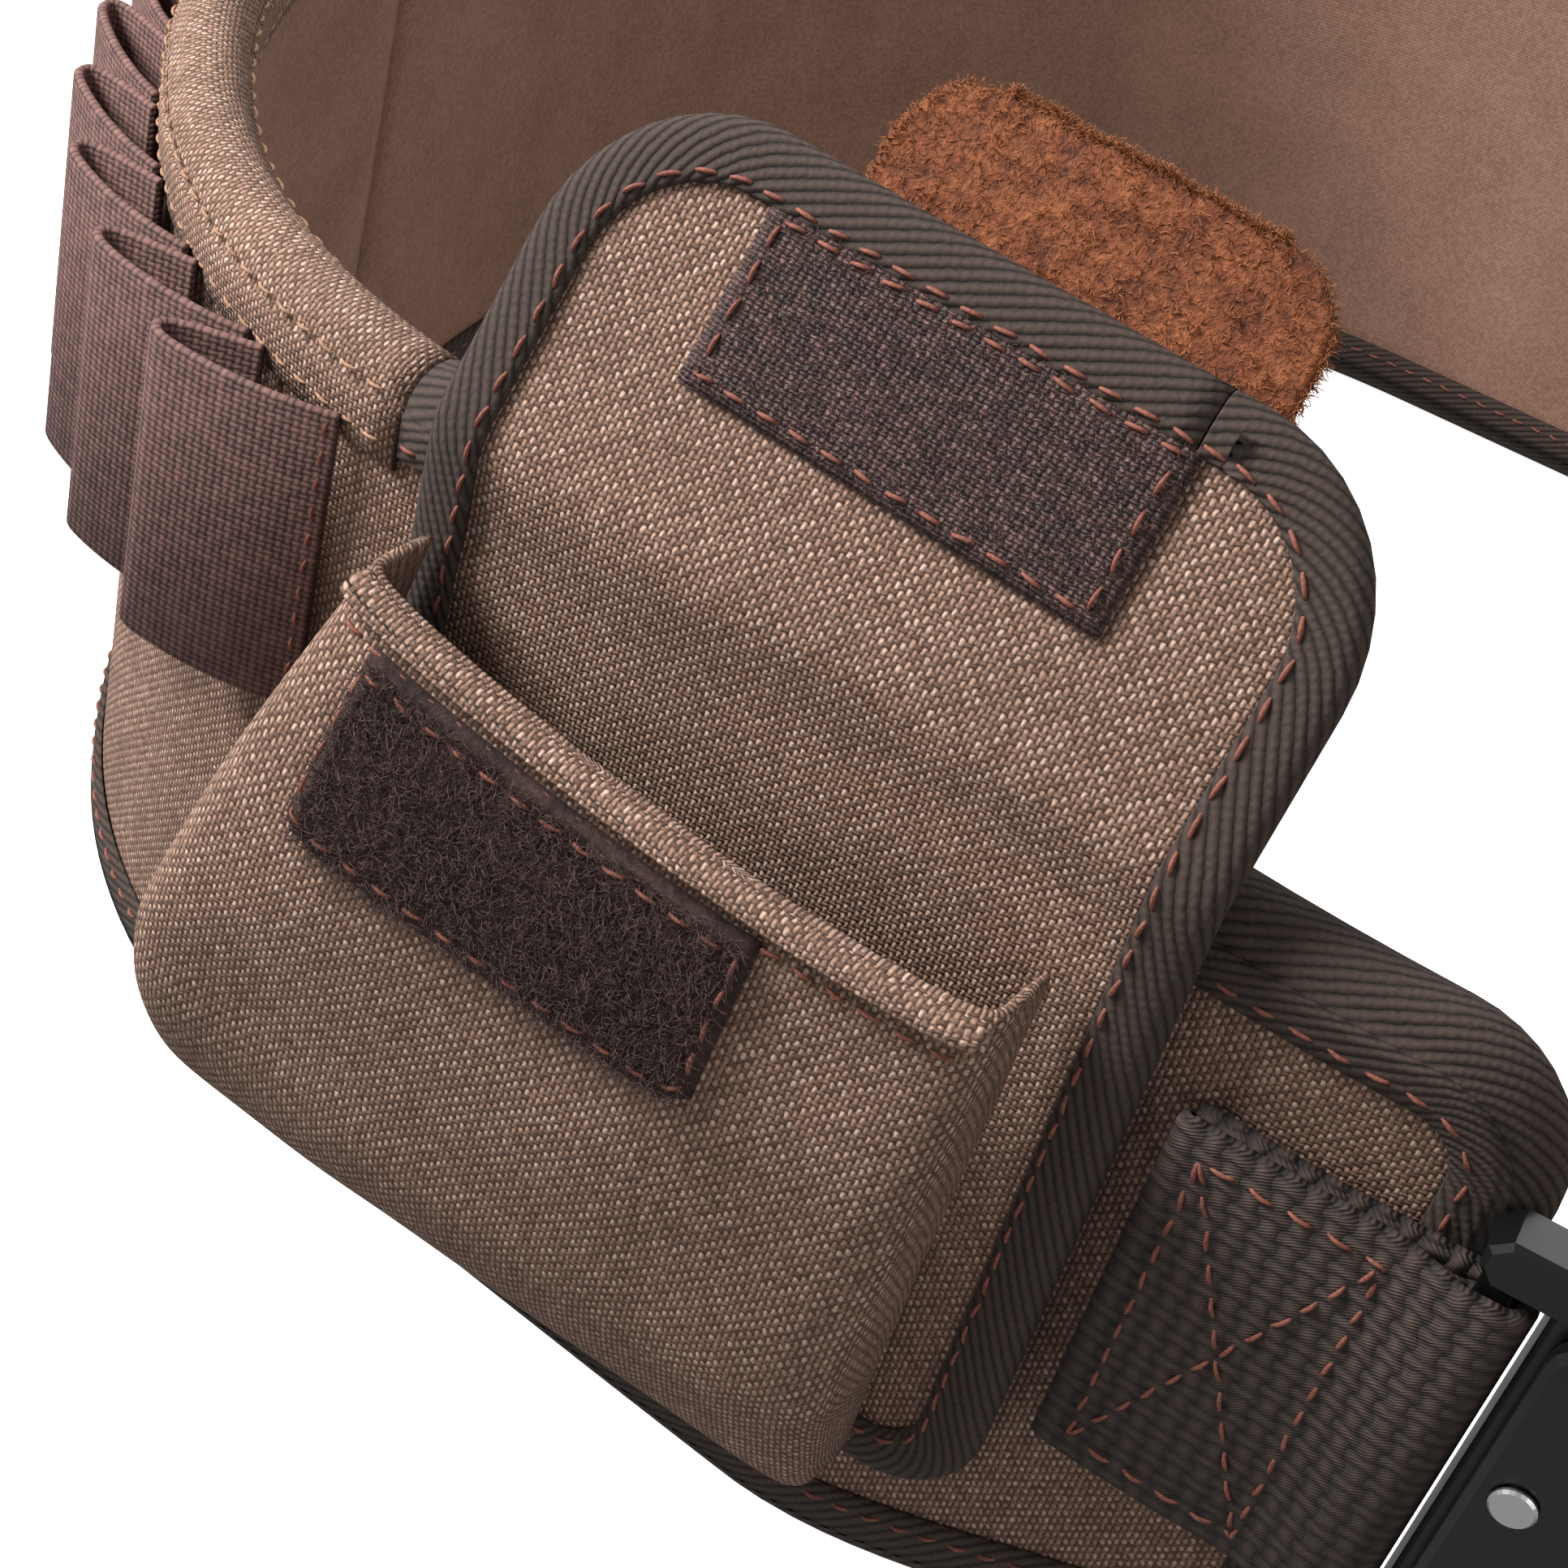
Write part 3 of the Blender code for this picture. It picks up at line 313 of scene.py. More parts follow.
def twillTape():
    look = tapeLook
    made, tree, shader = newMaterial("twillTape", 0.9)
    u, v = clothCoordinates(tree)
    u, v = wobble(tree, u, v, 0.25, 0.8)
    lean = math.radians(look["lean"])
    across = calc(tree, "ADD", calc(tree, "MULTIPLY", u, math.sin(lean) / look["rib"]),
                  calc(tree, "MULTIPLY", v, math.cos(lean) / look["rib"]))
    along = calc(tree, "SUBTRACT", calc(tree, "MULTIPLY", u, math.cos(lean) / look["twist"]),
                 calc(tree, "MULTIPLY", v, math.sin(lean) / look["twist"]))
    rib = calc(tree, "ABSOLUTE", calc(tree, "SINE", calc(tree, "MULTIPLY", across, math.pi)))
    turn = calc(tree, "ADD", along, calc(tree, "FLOOR", across))
    twist = calc(tree, "SINE", calc(tree, "MULTIPLY", turn, 2 * math.pi))
    height = calc(tree, "MULTIPLY", rib, calc(tree, "MULTIPLY_ADD", twist, 0.09, 0.90))
    worn = noiseOf(tree, joined(tree, u, v), 2.2, 3.0)
    # painted shade: the height term darkens the grooves between the ribs; the worn noise adds random tone
    shadeOf = calc(tree, "MULTIPLY_ADD", worn, 0.7, calc(tree, "MULTIPLY", height, 0.65))
    colour = ramp(tree, shadeOf, (0.25, look["dark"]), (0.95, look["light"]))
    finishLook(tree, shader, colour, height, look["relief"], 0.9)
    return made


elasticLook = {
    "rib": 0.80, "pick": 0.95, "dark": (0.014, 0.007, 0.006), "light": (0.240, 0.118, 0.102), "relief": 0.18,
}


def ribbedElastic():
    look = elasticLook
    made, tree, shader = newMaterial("ribbedElastic", 0.8)
    u, v = clothCoordinates(tree)
    height, _, cell = plainWeave(tree, u, v, look["pick"], look["rib"])
    # painted shade: the height term darkens the valleys between the ribs; the speckle gives each yarn its own
    # tone
    yarn = calc(tree, "MULTIPLY_ADD", speckle(tree, cell), 0.25, calc(tree, "MULTIPLY", height, 0.75))
    wide = noiseOf(tree, joined(tree, u, v), 0.12, 2.0)
    yarn = calc(tree, "MULTIPLY_ADD", calc(tree, "SUBTRACT", wide, 0.5), 0.25, yarn)
    colour = ramp(tree, yarn, (0.18, look["dark"]), (0.95, look["light"]))
    finishLook(tree, shader, colour, height, look["relief"], 0.8)
    return made


webLook = {
    "pitchU": 2.6, "pitchV": 1.9, "dark": (0.001, 0.001, 0.001), "light": (0.092, 0.057, 0.044),
    "relief": 1.1,
}


def heavyWebbing():
    look = webLook
    made, tree, shader = newMaterial("heavyWebbing", 0.8)
    u, v = clothCoordinates(tree)
    u, v = wobble(tree, u, v, 0.3, 0.5)
    height, _, _ = plainWeave(tree, u, v, look["pitchU"], look["pitchV"])
    slanted = calc(tree, "ADD", u, calc(tree, "MULTIPLY", v, 1.7))
    strands = calc(tree, "SINE", calc(tree, "MULTIPLY", slanted, 9.0))
    height = calc(tree, "MULTIPLY_ADD", strands, 0.07, height)
    worn = noiseOf(tree, joined(tree, u, v), 1.5, 3.0)
    # painted shade: the height term darkens the hollows of the weave; the worn noise adds random tone
    shadeOf = calc(tree, "MULTIPLY_ADD", worn, 0.35, calc(tree, "MULTIPLY", height, 0.7))
    colour = ramp(tree, shadeOf, (0.2, look["dark"]), (1.0, look["light"]))
    finishLook(tree, shader, colour, height, look["relief"], 0.9)
    return made


liningLook = {
    "pitchU": 0.55, "pitchV": 0.6, "dark": (0.160, 0.080, 0.052), "light": (0.400, 0.220, 0.155),
    "relief": 0.10,
}


def liningCloth():
    look = liningLook
    made, tree, shader = newMaterial("liningCloth", 0.86)
    u, v = clothCoordinates(tree)
    height, _, cell = plainWeave(tree, u, v, look["pitchU"], look["pitchV"])
    where = joined(tree, u, v)
    # painted shade: the height term darkens the hollows of the weave; speckle and noise add random tone
    shadeOf = calc(tree, "MULTIPLY_ADD", speckle(tree, cell), 0.35, calc(tree, "MULTIPLY", height, 0.3))
    shadeOf = calc(tree, "MULTIPLY_ADD", noiseOf(tree, where, 0.06, 3.0), 0.5, shadeOf)
    colour = ramp(tree, shadeOf, (0.10, look["dark"]), (0.95, look["light"]))
    finishLook(tree, shader, colour, height, look["relief"], 0.7)
    return made


suedeLook = {
    "dark": (0.022, 0.005, 0.001), "middle": (0.175, 0.042, 0.009), "light": (0.42, 0.135, 0.040),
    "relief": 1.6,
}


def suedeHide():
    look = suedeLook
    made, tree, shader = newMaterial("suedeHide", 0.95, sheen=0.1)
    where = objectCoordinates(tree)
    streaks = noiseOf(tree, where, 260, 6.0, 0.65)
    clumps = noiseOf(tree, where, 900, 4.0, 0.7)
    shadeOf = calc(tree, "MULTIPLY_ADD", clumps, 0.5, calc(tree, "MULTIPLY", streaks, 0.55))
    colour = ramp(tree, shadeOf, (0.32, look["dark"]), (0.50, look["middle"]), (0.74, look["light"]))
    finishLook(tree, shader, colour, shadeOf, look["relief"])
    return made


def objectCoordinates(tree):
    return tree.nodes.new("ShaderNodeTexCoord").outputs["Object"]


def plainThread(name, colour):
    made, tree, shader = newMaterial(name, 0.75, colour)
    twist = noiseOf(tree, objectCoordinates(tree), 2500, 2.0)
    darker, paler = tuple(c * 0.55 for c in colour), tuple(min(1, c * 1.25) for c in colour)
    finishLook(tree, shader, ramp(tree, twist, (0.3, darker), (0.7, paler)), twist, 0.08, 0.6)
    return made


hookLook = {
    "pitchU": 0.85, "pitchV": 0.5, "dark": (0.010, 0.006, 0.006), "light": (0.125, 0.060, 0.050),
    "paintedTipHighlight": (0.27, 0.15, 0.125), "relief": 0.35,
}


def hookPile():
    look = hookLook
    made, tree, shader = newMaterial("hookPile", 0.6)
    u, v = clothCoordinates(tree)
    u, v = wobble(tree, u, v, 0.35, 1.4)
    height, _, cell = plainWeave(tree, u, v, look["pitchU"], look["pitchV"])
    # painted shade between the hooks and a painted highlight on the highest tips, from the height term; the
    # speckle adds random tone
    shadeOf = calc(tree, "MULTIPLY_ADD", speckle(tree, cell), 0.45, calc(tree, "MULTIPLY", height, 0.55))
    colour = ramp(tree, shadeOf, (0.25, look["dark"]), (0.85, look["light"]), (1.0, look["paintedTipHighlight"]))
    finishLook(tree, shader, colour, height, look["relief"])
    return made


pileLook = {"dark": (0.014, 0.007, 0.006), "light": (0.085, 0.045, 0.038), "relief": 0.8}


def loopPileBacking():
    look = pileLook
    made, tree, shader = newMaterial("loopPileBacking", 0.95)
    where = objectCoordinates(tree)
    fluff = noiseOf(tree, where, 1400, 5.0, 0.7)
    wide = noiseOf(tree, where, 160, 3.0)
    shadeOf = calc(tree, "MULTIPLY_ADD", fluff, 0.6, calc(tree, "MULTIPLY", wide, 0.4))
    colour = ramp(tree, shadeOf, (0.36, look["dark"]), (0.66, look["light"]))
    finishLook(tree, shader, colour, shadeOf, look["relief"])
    return made


def blackLacquer():
    made, tree, shader = newMaterial("blackLacquer", 0.3, (0.003, 0.003, 0.003))
    shader.inputs["Coat Weight"].default_value = 0.15
    shader.inputs["Coat Roughness"].default_value = 0.06
    smudge = noiseOf(tree, objectCoordinates(tree), 120, 3.0)
    rough = tree.nodes.new("ShaderNodeMapRange")
    rough.inputs["To Min"].default_value = 0.24
    rough.inputs["To Max"].default_value = 0.36
    tree.links.new(smudge, rough.inputs["Value"])
    tree.links.new(rough.outputs[0], shader.inputs["Roughness"])
    return made


def brightSteel():
    made, tree, shader = newMaterial("brightSteel", 0.3, (0.72, 0.72, 0.72), 1.0)
    bump(tree, shader, noiseOf(tree, objectCoordinates(tree), 900, 3.0), 0.03 * mm, 0.5)
    return made


def foamSheet():
    made, tree, shader = newMaterial("foamSheet", 0.95)
    cells = noiseOf(tree, objectCoordinates(tree), 700, 4.0)
    colour = ramp(tree, cells, (0.3, (0.05, 0.05, 0.05)), (0.7, (0.14, 0.14, 0.14)))
    finishLook(tree, shader, colour, cells, 0.3)
    return made


materials = {
    # the hem copy of the canvas is painted 5% brighter, as painted light on the band's top hem and the pouch's
    # rim
    "canvas": canvasCloth(), "hem": canvasCloth("hemClothPaintedLight", 1.05), "tape": twillTape(),
    "elastic": ribbedElastic(), "web": heavyWebbing(), "lining": liningCloth(), "suede": suedeHide(),
    "hook": hookPile(), "loop": loopPileBacking(), "lacquer": blackLacquer(), "steel": brightSteel(),
    "foam": foamSheet(), "rust": plainThread("rustThread", (0.26, 0.082, 0.052)),
    "tan": plainThread("tanThread", (0.40, 0.22, 0.13)),
    "fibre": plainThread("pileFibre", (0.105, 0.060, 0.052)),
    "hide": plainThread("hideFibre", (0.36, 0.12, 0.035)),
}
print("materials ready")


def newObject(name, mesh, material, smooth=True):
    made = bpy.data.objects.new(name, mesh)
    bpy.context.scene.collection.objects.link(made)
    mesh.materials.append(materials[material])
    if smooth:
        mesh.shade_smooth()
    return made


def gridObject(name, points, uvs, material, closed=False, thickness=0.0):
    # points and uvs are rows of equal length; closed joins each row's end to its start
    mesh = bpy.data.meshes.new(name)
    rows, columns = len(points), len(points[0])
    flat = [p for row in points for p in row]
    faces, corners = [], []
    span = columns if closed else columns - 1
    for r in range(rows - 1):
        for c in range(span):
            d = (c + 1) % columns
            faces.append((r * columns + c, r * columns + d, (r + 1) * columns + d, (r + 1) * columns + c))
            corners += [uvs[r][c], uvs[r][c + 1], uvs[r + 1][c + 1], uvs[r + 1][c]]
    if closed:
        faces += [tuple(range(columns)), tuple((rows - 1) * columns + c for c in reversed(range(columns)))]
        corners += [uvs[0][c] for c in range(columns)] + [uvs[-1][c] for c in reversed(range(columns))]
    mesh.from_pydata(flat, [], faces)
    layer = mesh.uv_layers.new(name="UVMap")
    layer.data.foreach_set("uv", [value for corner in corners for value in corner])
    made = newObject(name, mesh, material)
    outwardFaces(mesh)
    if thickness:
        solid = made.modifiers.new("thickness", "SOLIDIFY")
        solid.thickness = abs(thickness)
        solid.offset = 1.0 if thickness > 0 else -1.0
    return made


def outwardFaces(mesh):
    work = bmesh.new()
    work.from_mesh(mesh)
    bmesh.ops.recalc_face_normals(work, faces=work.faces)
    work.to_mesh(mesh)
    work.free()


def faceTowards(made, direction):
    # an open sheet has no inside, so its normals are turned towards one side
    mesh = made.data
    total = sum((f.normal * f.area for f in mesh.polygons), Vector())
    if total.dot(direction) < 0:
        mesh.flip_normals()


def profileFrames(line):
    # for each point of a 2D line: the point, its side direction and the way gone
    way, framesMade = 0.0, []
    for i, here in enumerate(line):
        before, after = Vector(line[max(i - 1, 0)]), Vector(line[min(i + 1, len(line) - 1)])
        run = (after - before).normalized()
        if i:
            way += (Vector(here) - Vector(line[i - 1])).length
        framesMade.append((Vector(here), Vector((-run.y, run.x)), way))
    return framesMade


def foldedTape(name, path, tape, toSpace, material):
    # tape folded over an edge; path runs along the edge with the cloth on its left
    thick, width = tape["thick"], tape["width"]
    front, back = tape["front"], tape["back"]
    half = (front - back) / 2 + thick
    middle = (front + back) / 2
    steps = tape.get("steps", 7)
    outer = [(width, front + thick * 0.25), (width - 0.25 * mm, front + thick)]
    outer += [(width * t, front + thick + tape["crown"] * math.sin(math.pi * t)) for t in (0.8, 0.6, 0.42)]
    bend = [(half - half * math.sin(math.radians(a)), middle + half * math.cos(math.radians(a)))
            for a in [180 * i / steps for i in range(steps + 1)]]
    outer += bend
    outer += [(width * t, back - thick - tape["crown"] * math.sin(math.pi * t)) for t in (0.42, 0.6, 0.8)]
    outer += [(width - 0.25 * mm, back - thick), (width, back - thick * 0.25)]
    inner = [(width, back), (half, back), (half * 0.7, middle), (half, front), (width, front)]
    ring = outer + inner
    ringWay = [0.0]
    for a, b in zip(ring, ring[1:] + ring[:1]):
        ringWay.append(ringWay[-1] + (Vector(b) - Vector(a)).length)
    rows, uvs = [], []
    for here, side, way in profileFrames(path):
        spots = [(here + side * inside, out) for inside, out in ring]
        rows.append([toSpace(spot.x, out, spot.y) for spot, out in spots])
        uvs.append([(way, w) for w in ringWay])
    return gridObject(name, rows, uvs, material, closed=True)


def stripSolid(name, line, thick, low, high, toSpace, material, rounding=0.35):
    # flat strap: line is its middle as (along, out), low and high its two edges
    half = thick / 2
    lip = min(half * rounding * 2, (high - low) / 4)
    ring = [(half, low + lip), (half, (low + high) / 2), (half, high - lip), (half * 0.4, high),
            (-half * 0.4, high), (-half, high - lip), (-half, (low + high) / 2), (-half, low + lip),
            (-half * 0.4, low), (half * 0.4, low)]
    rows, uvs = [], []
    for here, side, way in profileFrames(line):
        rows.append([toSpace((here + side * d).x, (here + side * d).y, z) for d, z in ring])
        across = [z for _, z in ring] + [ring[0][1]]
        uvs.append([(way, z) for z in across])
    return gridObject(name, rows, uvs, material, closed=True)


def smoothLine(knots, steps):
    points = []
    for i in range(len(knots) - 1):
        p0, p1 = Vector(knots[max(i - 1, 0)]), Vector(knots[i])
        p2, p3 = Vector(knots[i + 1]), Vector(knots[min(i + 2, len(knots) - 1)])
        for step in range(steps):
            t = step / steps
            points.append(0.5 * (2 * p1 + (p2 - p0) * t + (2 * p0 - 5 * p1 + 4 * p2 - p3) * t ** 2
                                 + (3 * p1 - p0 - 3 * p2 + p3) * t ** 3))
    return [tuple(p) for p in points] + [tuple(knots[-1])]


stitch = {"length": 2.5, "gap": 1.5, "radius": 0.27, "wander": 0.20}


def stitching(name, spots, material="rust", size=1.0, length=None):
    # spots is a dense row of (point, normal); each stitch arches out of the cloth and back in
    chance = random.Random(name)
    ways = [0.0]
    for (a, _), (b, _) in zip(spots, spots[1:]):
        ways.append(ways[-1] + (b - a).length)

    def at(way):
        for i in range(1, len(ways)):
            if ways[i] >= way:
                t = (way - ways[i - 1]) / max(ways[i] - ways[i - 1], 1e-9)
                (p, pn), (q, qn) = spots[i - 1], spots[i]
                return p.lerp(q, t), pn.lerp(qn, t).normalized(), (q - p).normalized()
        return spots[-1][0], spots[-1][1], (spots[-1][0] - spots[-2][0]).normalized()

    vertices, faces = [], []
    radius = stitch["radius"] * mm * size
    pitch = (length or stitch["length"]) * mm
    start = 0.3 * mm
    while start + pitch * 0.6 < ways[-1]:
        reach = pitch * chance.uniform(0.92, 1.05)
        slant = chance.uniform(-1, 1) * stitch["wander"] * mm
        first = len(vertices)
        for k in range(6):
            t = k / 5
            point, normal, run = at(min(start + reach * t, ways[-1]))
            side = normal.cross(run)
            lift = radius * (1.5 * math.sin(math.pi * (0.06 + 0.88 * t)) - 0.75)
            fat = radius * (0.45 + 0.55 * math.sin(math.pi * (0.1 + 0.8 * t)))
            middle = point + normal * lift + side * slant * (2 * t - 1)
            for q in range(6):
                angle = math.pi * q / 3
                vertices.append(middle + side * math.cos(angle) * fat + normal * math.sin(angle) * fat)
        for k in range(5):
            for q in range(6):
                a, b = first + k * 6 + q, first + k * 6 + (q + 1) % 6
                faces.append((a, b, b + 6, a + 6))
        faces.append(tuple(first + q for q in reversed(range(6))))
        faces.append(tuple(first + 30 + q for q in range(6)))
        start += reach + stitch["gap"] * mm
    mesh = bpy.data.meshes.new(name)
    mesh.from_pydata(vertices, [], faces)
    return newObject(name, mesh, material)


def fibres(name, spots, material, length, radius, curl, seed):
    # short curled hairs, each a thin three sided tube
    chance = random.Random(seed)
    vertices, faces = [], []
    for point, normal in spots:
        away = Vector((chance.uniform(-1, 1), chance.uniform(-1, 1), chance.uniform(-1, 1)))
        run = (normal * 0.9 + away * 0.8).normalized()
        twist = away.cross(normal).normalized()
        here, first, steps = point.copy(), len(vertices), 6
        reach = length * chance.uniform(0.6, 1.3)
        for k in range(steps):
            side = run.cross(twist).normalized()
            up = run.cross(side).normalized()
            fat = radius * (1.0 - 0.5 * k / steps)
            for q in range(3):
                angle = 2 * math.pi * q / 3
                vertices.append(here + side * math.cos(angle) * fat + up * math.sin(angle) * fat)
            here = here + run * reach / steps
            bend = twist * curl * chance.uniform(0.2, 0.9)
            run = (run + bend - normal * curl * 0.25 * k / steps).normalized()
            twist = (twist + away * 0.3).normalized()
        for k in range(steps - 1):
            for q in range(3):
                a, b = first + k * 3 + q, first + k * 3 + (q + 1) % 3
                faces.append((a, b, b + 3, a + 3))
    mesh = bpy.data.meshes.new(name)
    mesh.from_pydata(vertices, [], faces)
    return newObject(name, mesh, material)


def rumple(point, scale, amount):
    return noise.noise(point * scale) * amount


band = {
    "corner": 16, "endRise": 22, "endRiseLength": 66, "frontTape": 140, "seams": (300, 300),
    "step": 4.0, "clothInset": 4.6, "canvasOut": 0.1, "liningOut": -7.75, "puff": 0.35,
}
bandTape = {"width": 10.5 * mm, "thick": 0.8 * mm, "front": 0.3 * mm, "back": -8.1 * mm, "crown": 0.25 * mm}
hemTape = {"width": 12.5 * mm, "thick": 0.9 * mm, "front": 0.2 * mm, "back": -8.0 * mm, "crown": 0.45 * mm}


def fromEnd(s):
    return min(s, bandLength - s)


def bandBottom(s):
    rest = max(0.0, 1.0 - fromEnd(s) / (band["endRiseLength"] * mm))
    return band["endRise"] * mm * rest * rest * (3 - 2 * rest)


def cornerDrop(s, inset):
    radius = band["corner"] * mm - inset
    left = radius - (fromEnd(s) - inset)
    return radius - math.sqrt(max(0.0, radius ** 2 - left ** 2)) if left > 0 else 0.0


def bandStations(inset):
    radius = band["corner"] * mm - inset
    ends = [inset + radius * (1 - math.cos(math.radians(90 * i / 7))) for i in range(8)]
    span = bandLength - 2 * band["corner"] * mm
    count = round(span / (band["step"] * mm * detail))
    middle = [band["corner"] * mm + span * i / count for i in range(1, count)]
    return ends + middle + [bandLength - e for e in reversed(ends)]


def bandSheet(name, stations, out, material, rows, puff):
    points, uvs = [], []
    inset = band["clothInset"] * mm
    for s in stations:
        drop = cornerDrop(s, inset)
        low, high = bandBottom(s) + inset + drop, bandTop - inset - drop
        line, marks = [], []
        for r in range(rows + 1):
            z = low + (high - low) * r / rows
            lift = rumple(place(s, 0, z), 28, puff) + rumple(place(s, 0, z), 75, puff * 0.4)
            line.append(place(s, out + lift, z))
            marks.append((s, z))
        points.append(line)
        uvs.append(marks)
    return gridObject(name, points, uvs, material, thickness=-1.0 * mm)


def makeBandCloth():
    inset = band["clothInset"] * mm
    stations = bandStations(inset)
    outer = bandSheet("bandCanvas", stations, band["canvasOut"] * mm, "canvas", 26, band["puff"] * mm)
    turnByPlace(outer, 1)
    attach(outer, "belt")
    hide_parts("canvas_outer")
    seams = [inset, band["seams"][0] * mm, bandLength - band["seams"][1] * mm, bandLength - inset]
    for name, node, low, high in zip(("liningLeft", "liningBack", "liningRight"),
                                     ("lining_left", "lining_back", "lining_right"), seams, seams[1:]):
        inside = [low] + [s for s in stations if low + 1 * mm < s < high - 1 * mm] + [high]
        points, uvs = [], []
        for s in inside:
            drop = cornerDrop(s, inset)
            base, top = bandBottom(s) + inset + drop, bandTop - inset - drop
            tuck = 0.0
            for seam in seams[1:3]:
                tuck = max(tuck, math.exp(-((s - seam) / (3 * mm)) ** 2))
            line, marks = [], []
            for r in range(21):
                z = base + (top - base) * r / 20
                lift = rumple(place(s, 0, z), 22, 0.5 * mm) + 0.9 * mm * tuck
                line.append(place(s, band["liningOut"] * mm + lift, z))
                marks.append((s, z))
            points.append(line)
            uvs.append(marks)
        sheetMade = gridObject(name, points, uvs, "lining", thickness=-0.9 * mm)
        turnByPlace(sheetMade, -1)
        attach(sheetMade, "belt")
        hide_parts(node)
    for name in ("foam_left", "foam_back", "foam_right"):
        nodes[name].data.materials.clear()
        nodes[name].data.materials.append(materials["foam"])


def turnByPlace(made, way):
    # normals away from the loop's middle for 1, towards it for -1
    mesh = made.data
    centre = Vector((0, 0, bandTop / 2))
    total = 0.0
    for face in mesh.polygons:
        spot = face.center - centre
        spot.z = 0
        total += face.normal.dot(spot) * face.area
    if total * way < 0:
        mesh.flip_normals()


def bandEdge():
    radius = band["corner"] * mm
    top = [(s, bandTop) for s in
           [band["frontTape"] * mm * (1 - i / 24) for i in range(25)] if s > radius]
    corner = [(radius - radius * math.sin(math.radians(a)),
               bandTop - radius + radius * math.cos(math.radians(a))) for a in range(0, 91, 10)]
    lowStart = bandBottom(0.0) + radius
    side = [(0.0, bandTop - radius + (lowStart - bandTop + radius) * i / 6) for i in range(1, 6)]
    lowCorner = [(s, bandBottom(s) + cornerDrop(s, 0.0)) for s in
                 [radius * (1 - math.cos(math.radians(a))) for a in range(0, 91, 10)]]
    left = top + corner + side + lowCorner
    count = round((bandLength - 2 * radius) / (4 * mm))
    bottom = [(s, bandBottom(s)) for s in
              [radius + (bandLength - 2 * radius) * i / count for i in range(1, count)]]
    return left + bottom + [(bandLength - s, z) for s, z in reversed(left)]


def roundRectangle(left, bottom, right, top, across, up):
    # a dense walk along the top first, then down, back and up again
    walk = [(left + (right - left) * k / across, top) for k in range(across + 1)]
    walk += [(right, top - (top - bottom) * k / up) for k in range(1, up + 1)]
    walk += [(right + (left - right) * k / across, bottom) for k in range(1, across + 1)]
    return walk + [(left, bottom + (top - bottom) * k / up) for k in range(1, up + 1)]


def tapeStitchSpots(path, inside, out, toSpace, inward=False):
    spots = []
    for here, side, _ in profileFrames(path):
        spot = here + side * inside
        point = toSpace(spot.x, out, spot.y)
        beyond = toSpace(spot.x, out + (-1 if inward else 1) * mm, spot.y)
        spots.append((point, (beyond - point).normalized()))
    return spots


def makeBandEdges():
    path = bandEdge()
    tape = foldedTape("edgeTape", path, bandTape, place, "tape")
    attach(tape, "belt")
    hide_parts("edge_binding_left", "edge_binding_back", "edge_binding_right")
    for name, out, inward in (("edgeStitchOuter", 1.2 * mm, False), ("edgeStitchInner", -9.0 * mm, True)):
        thread = stitching(name, tapeStitchSpots(path, 8.6 * mm, out, place, inward), "rust")
        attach(thread, "belt")
    start = band["frontTape"] * mm + 0.3 * mm
    count = round((bandLength - 2 * start) / (4 * mm))
    hemPath = [(start + (bandLength - 2 * start) * i / count, bandTop) for i in range(count + 1)]
    hem = foldedTape("topHem", list(reversed(hemPath)), hemTape, place, "hem")
    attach(hem, "belt")
    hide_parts("top_hem")
    for number, inside in enumerate((3.6 * mm, 9.8 * mm)):
        for name, out, inward in (("Outer", 1.35 * mm, False), ("Inner", -9.1 * mm, True)):
            spots = tapeStitchSpots(list(reversed(hemPath)), inside, out, place, inward)
            thread = stitching(f"hemStitch{name}{number + 1}", spots, "tan", 0.85)
            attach(thread, "belt")


makeBandCloth()
makeBandEdges()
print("band made")

loops = {
    "count": 10, "start": 147, "pitch": 17, "height": 40.5, "below": 9.5, "rise": 11.2, "lean": 21.5,
    "thick": 1.3,
}


def makeLoops():
    foot = (0.3 + 0.65 + 0.8) * mm
    knots = [(0.04, 0.0), (0.26, 0.32), (0.54, 0.66), (0.82, 0.93), (0.955, 1.0), (1.02, 0.88),
             (0.965, 0.62), (0.82, 0.28), (0.68, 0.0)]
    line = [(a * loops["lean"] * mm, foot + b * (loops["rise"] * mm - foot)) for a, b in smoothLine(knots, 6)]
    top = bandTop - loops["below"] * mm
    low = top - loops["height"] * mm
    for number in range(loops["count"]):
        seam = (loops["start"] + number * loops["pitch"]) * mm

        def toSpace(a, out, z):
            return place(seam + a, out, z)

        strap = stripSolid(f"elasticLoop{number + 1:02d}", line, loops["thick"] * mm, low, top, toSpace,
                           "elastic", 0.3)
        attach(strap, "belt")
        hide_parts(f"elastic_loop_{number + 1:02d}")
        spots = [(toSpace(1.6 * mm, foot + 1.15 * mm, low + 0.6 * mm + (top - low - 1.2 * mm) * i / 40),
                  outward(seam)) for i in range(41)]
        thread = stitching(f"loopStitch{number + 1:02d}", spots, "rust", 0.9, 2.2)
        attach(thread, "belt")


makeLoops()
print("elastic loops made")

# the pouch's back panel and its flap are one piece of cloth
panel = {
    "width": 95.5, "bottom": 25, "lowCorner": 14, "flapLength": 41.2, "topCorner": 20.5, "lean": 30,
    "bend": 7, "thick": 1.7, "across": 30, "step": 2.2,
}
panelTape = {"width": 7.0 * mm, "thick": 0.8 * mm, "front": 1.15 * mm, "back": -1.15 * mm, "crown": 0.15 * mm}


def pouchPlace(across, out, z):
    return place(pouchAt + across, out, z)


panelRise = hinge.z - panel["bottom"] * mm
panelLength = panelRise + panel["flapLength"] * mm


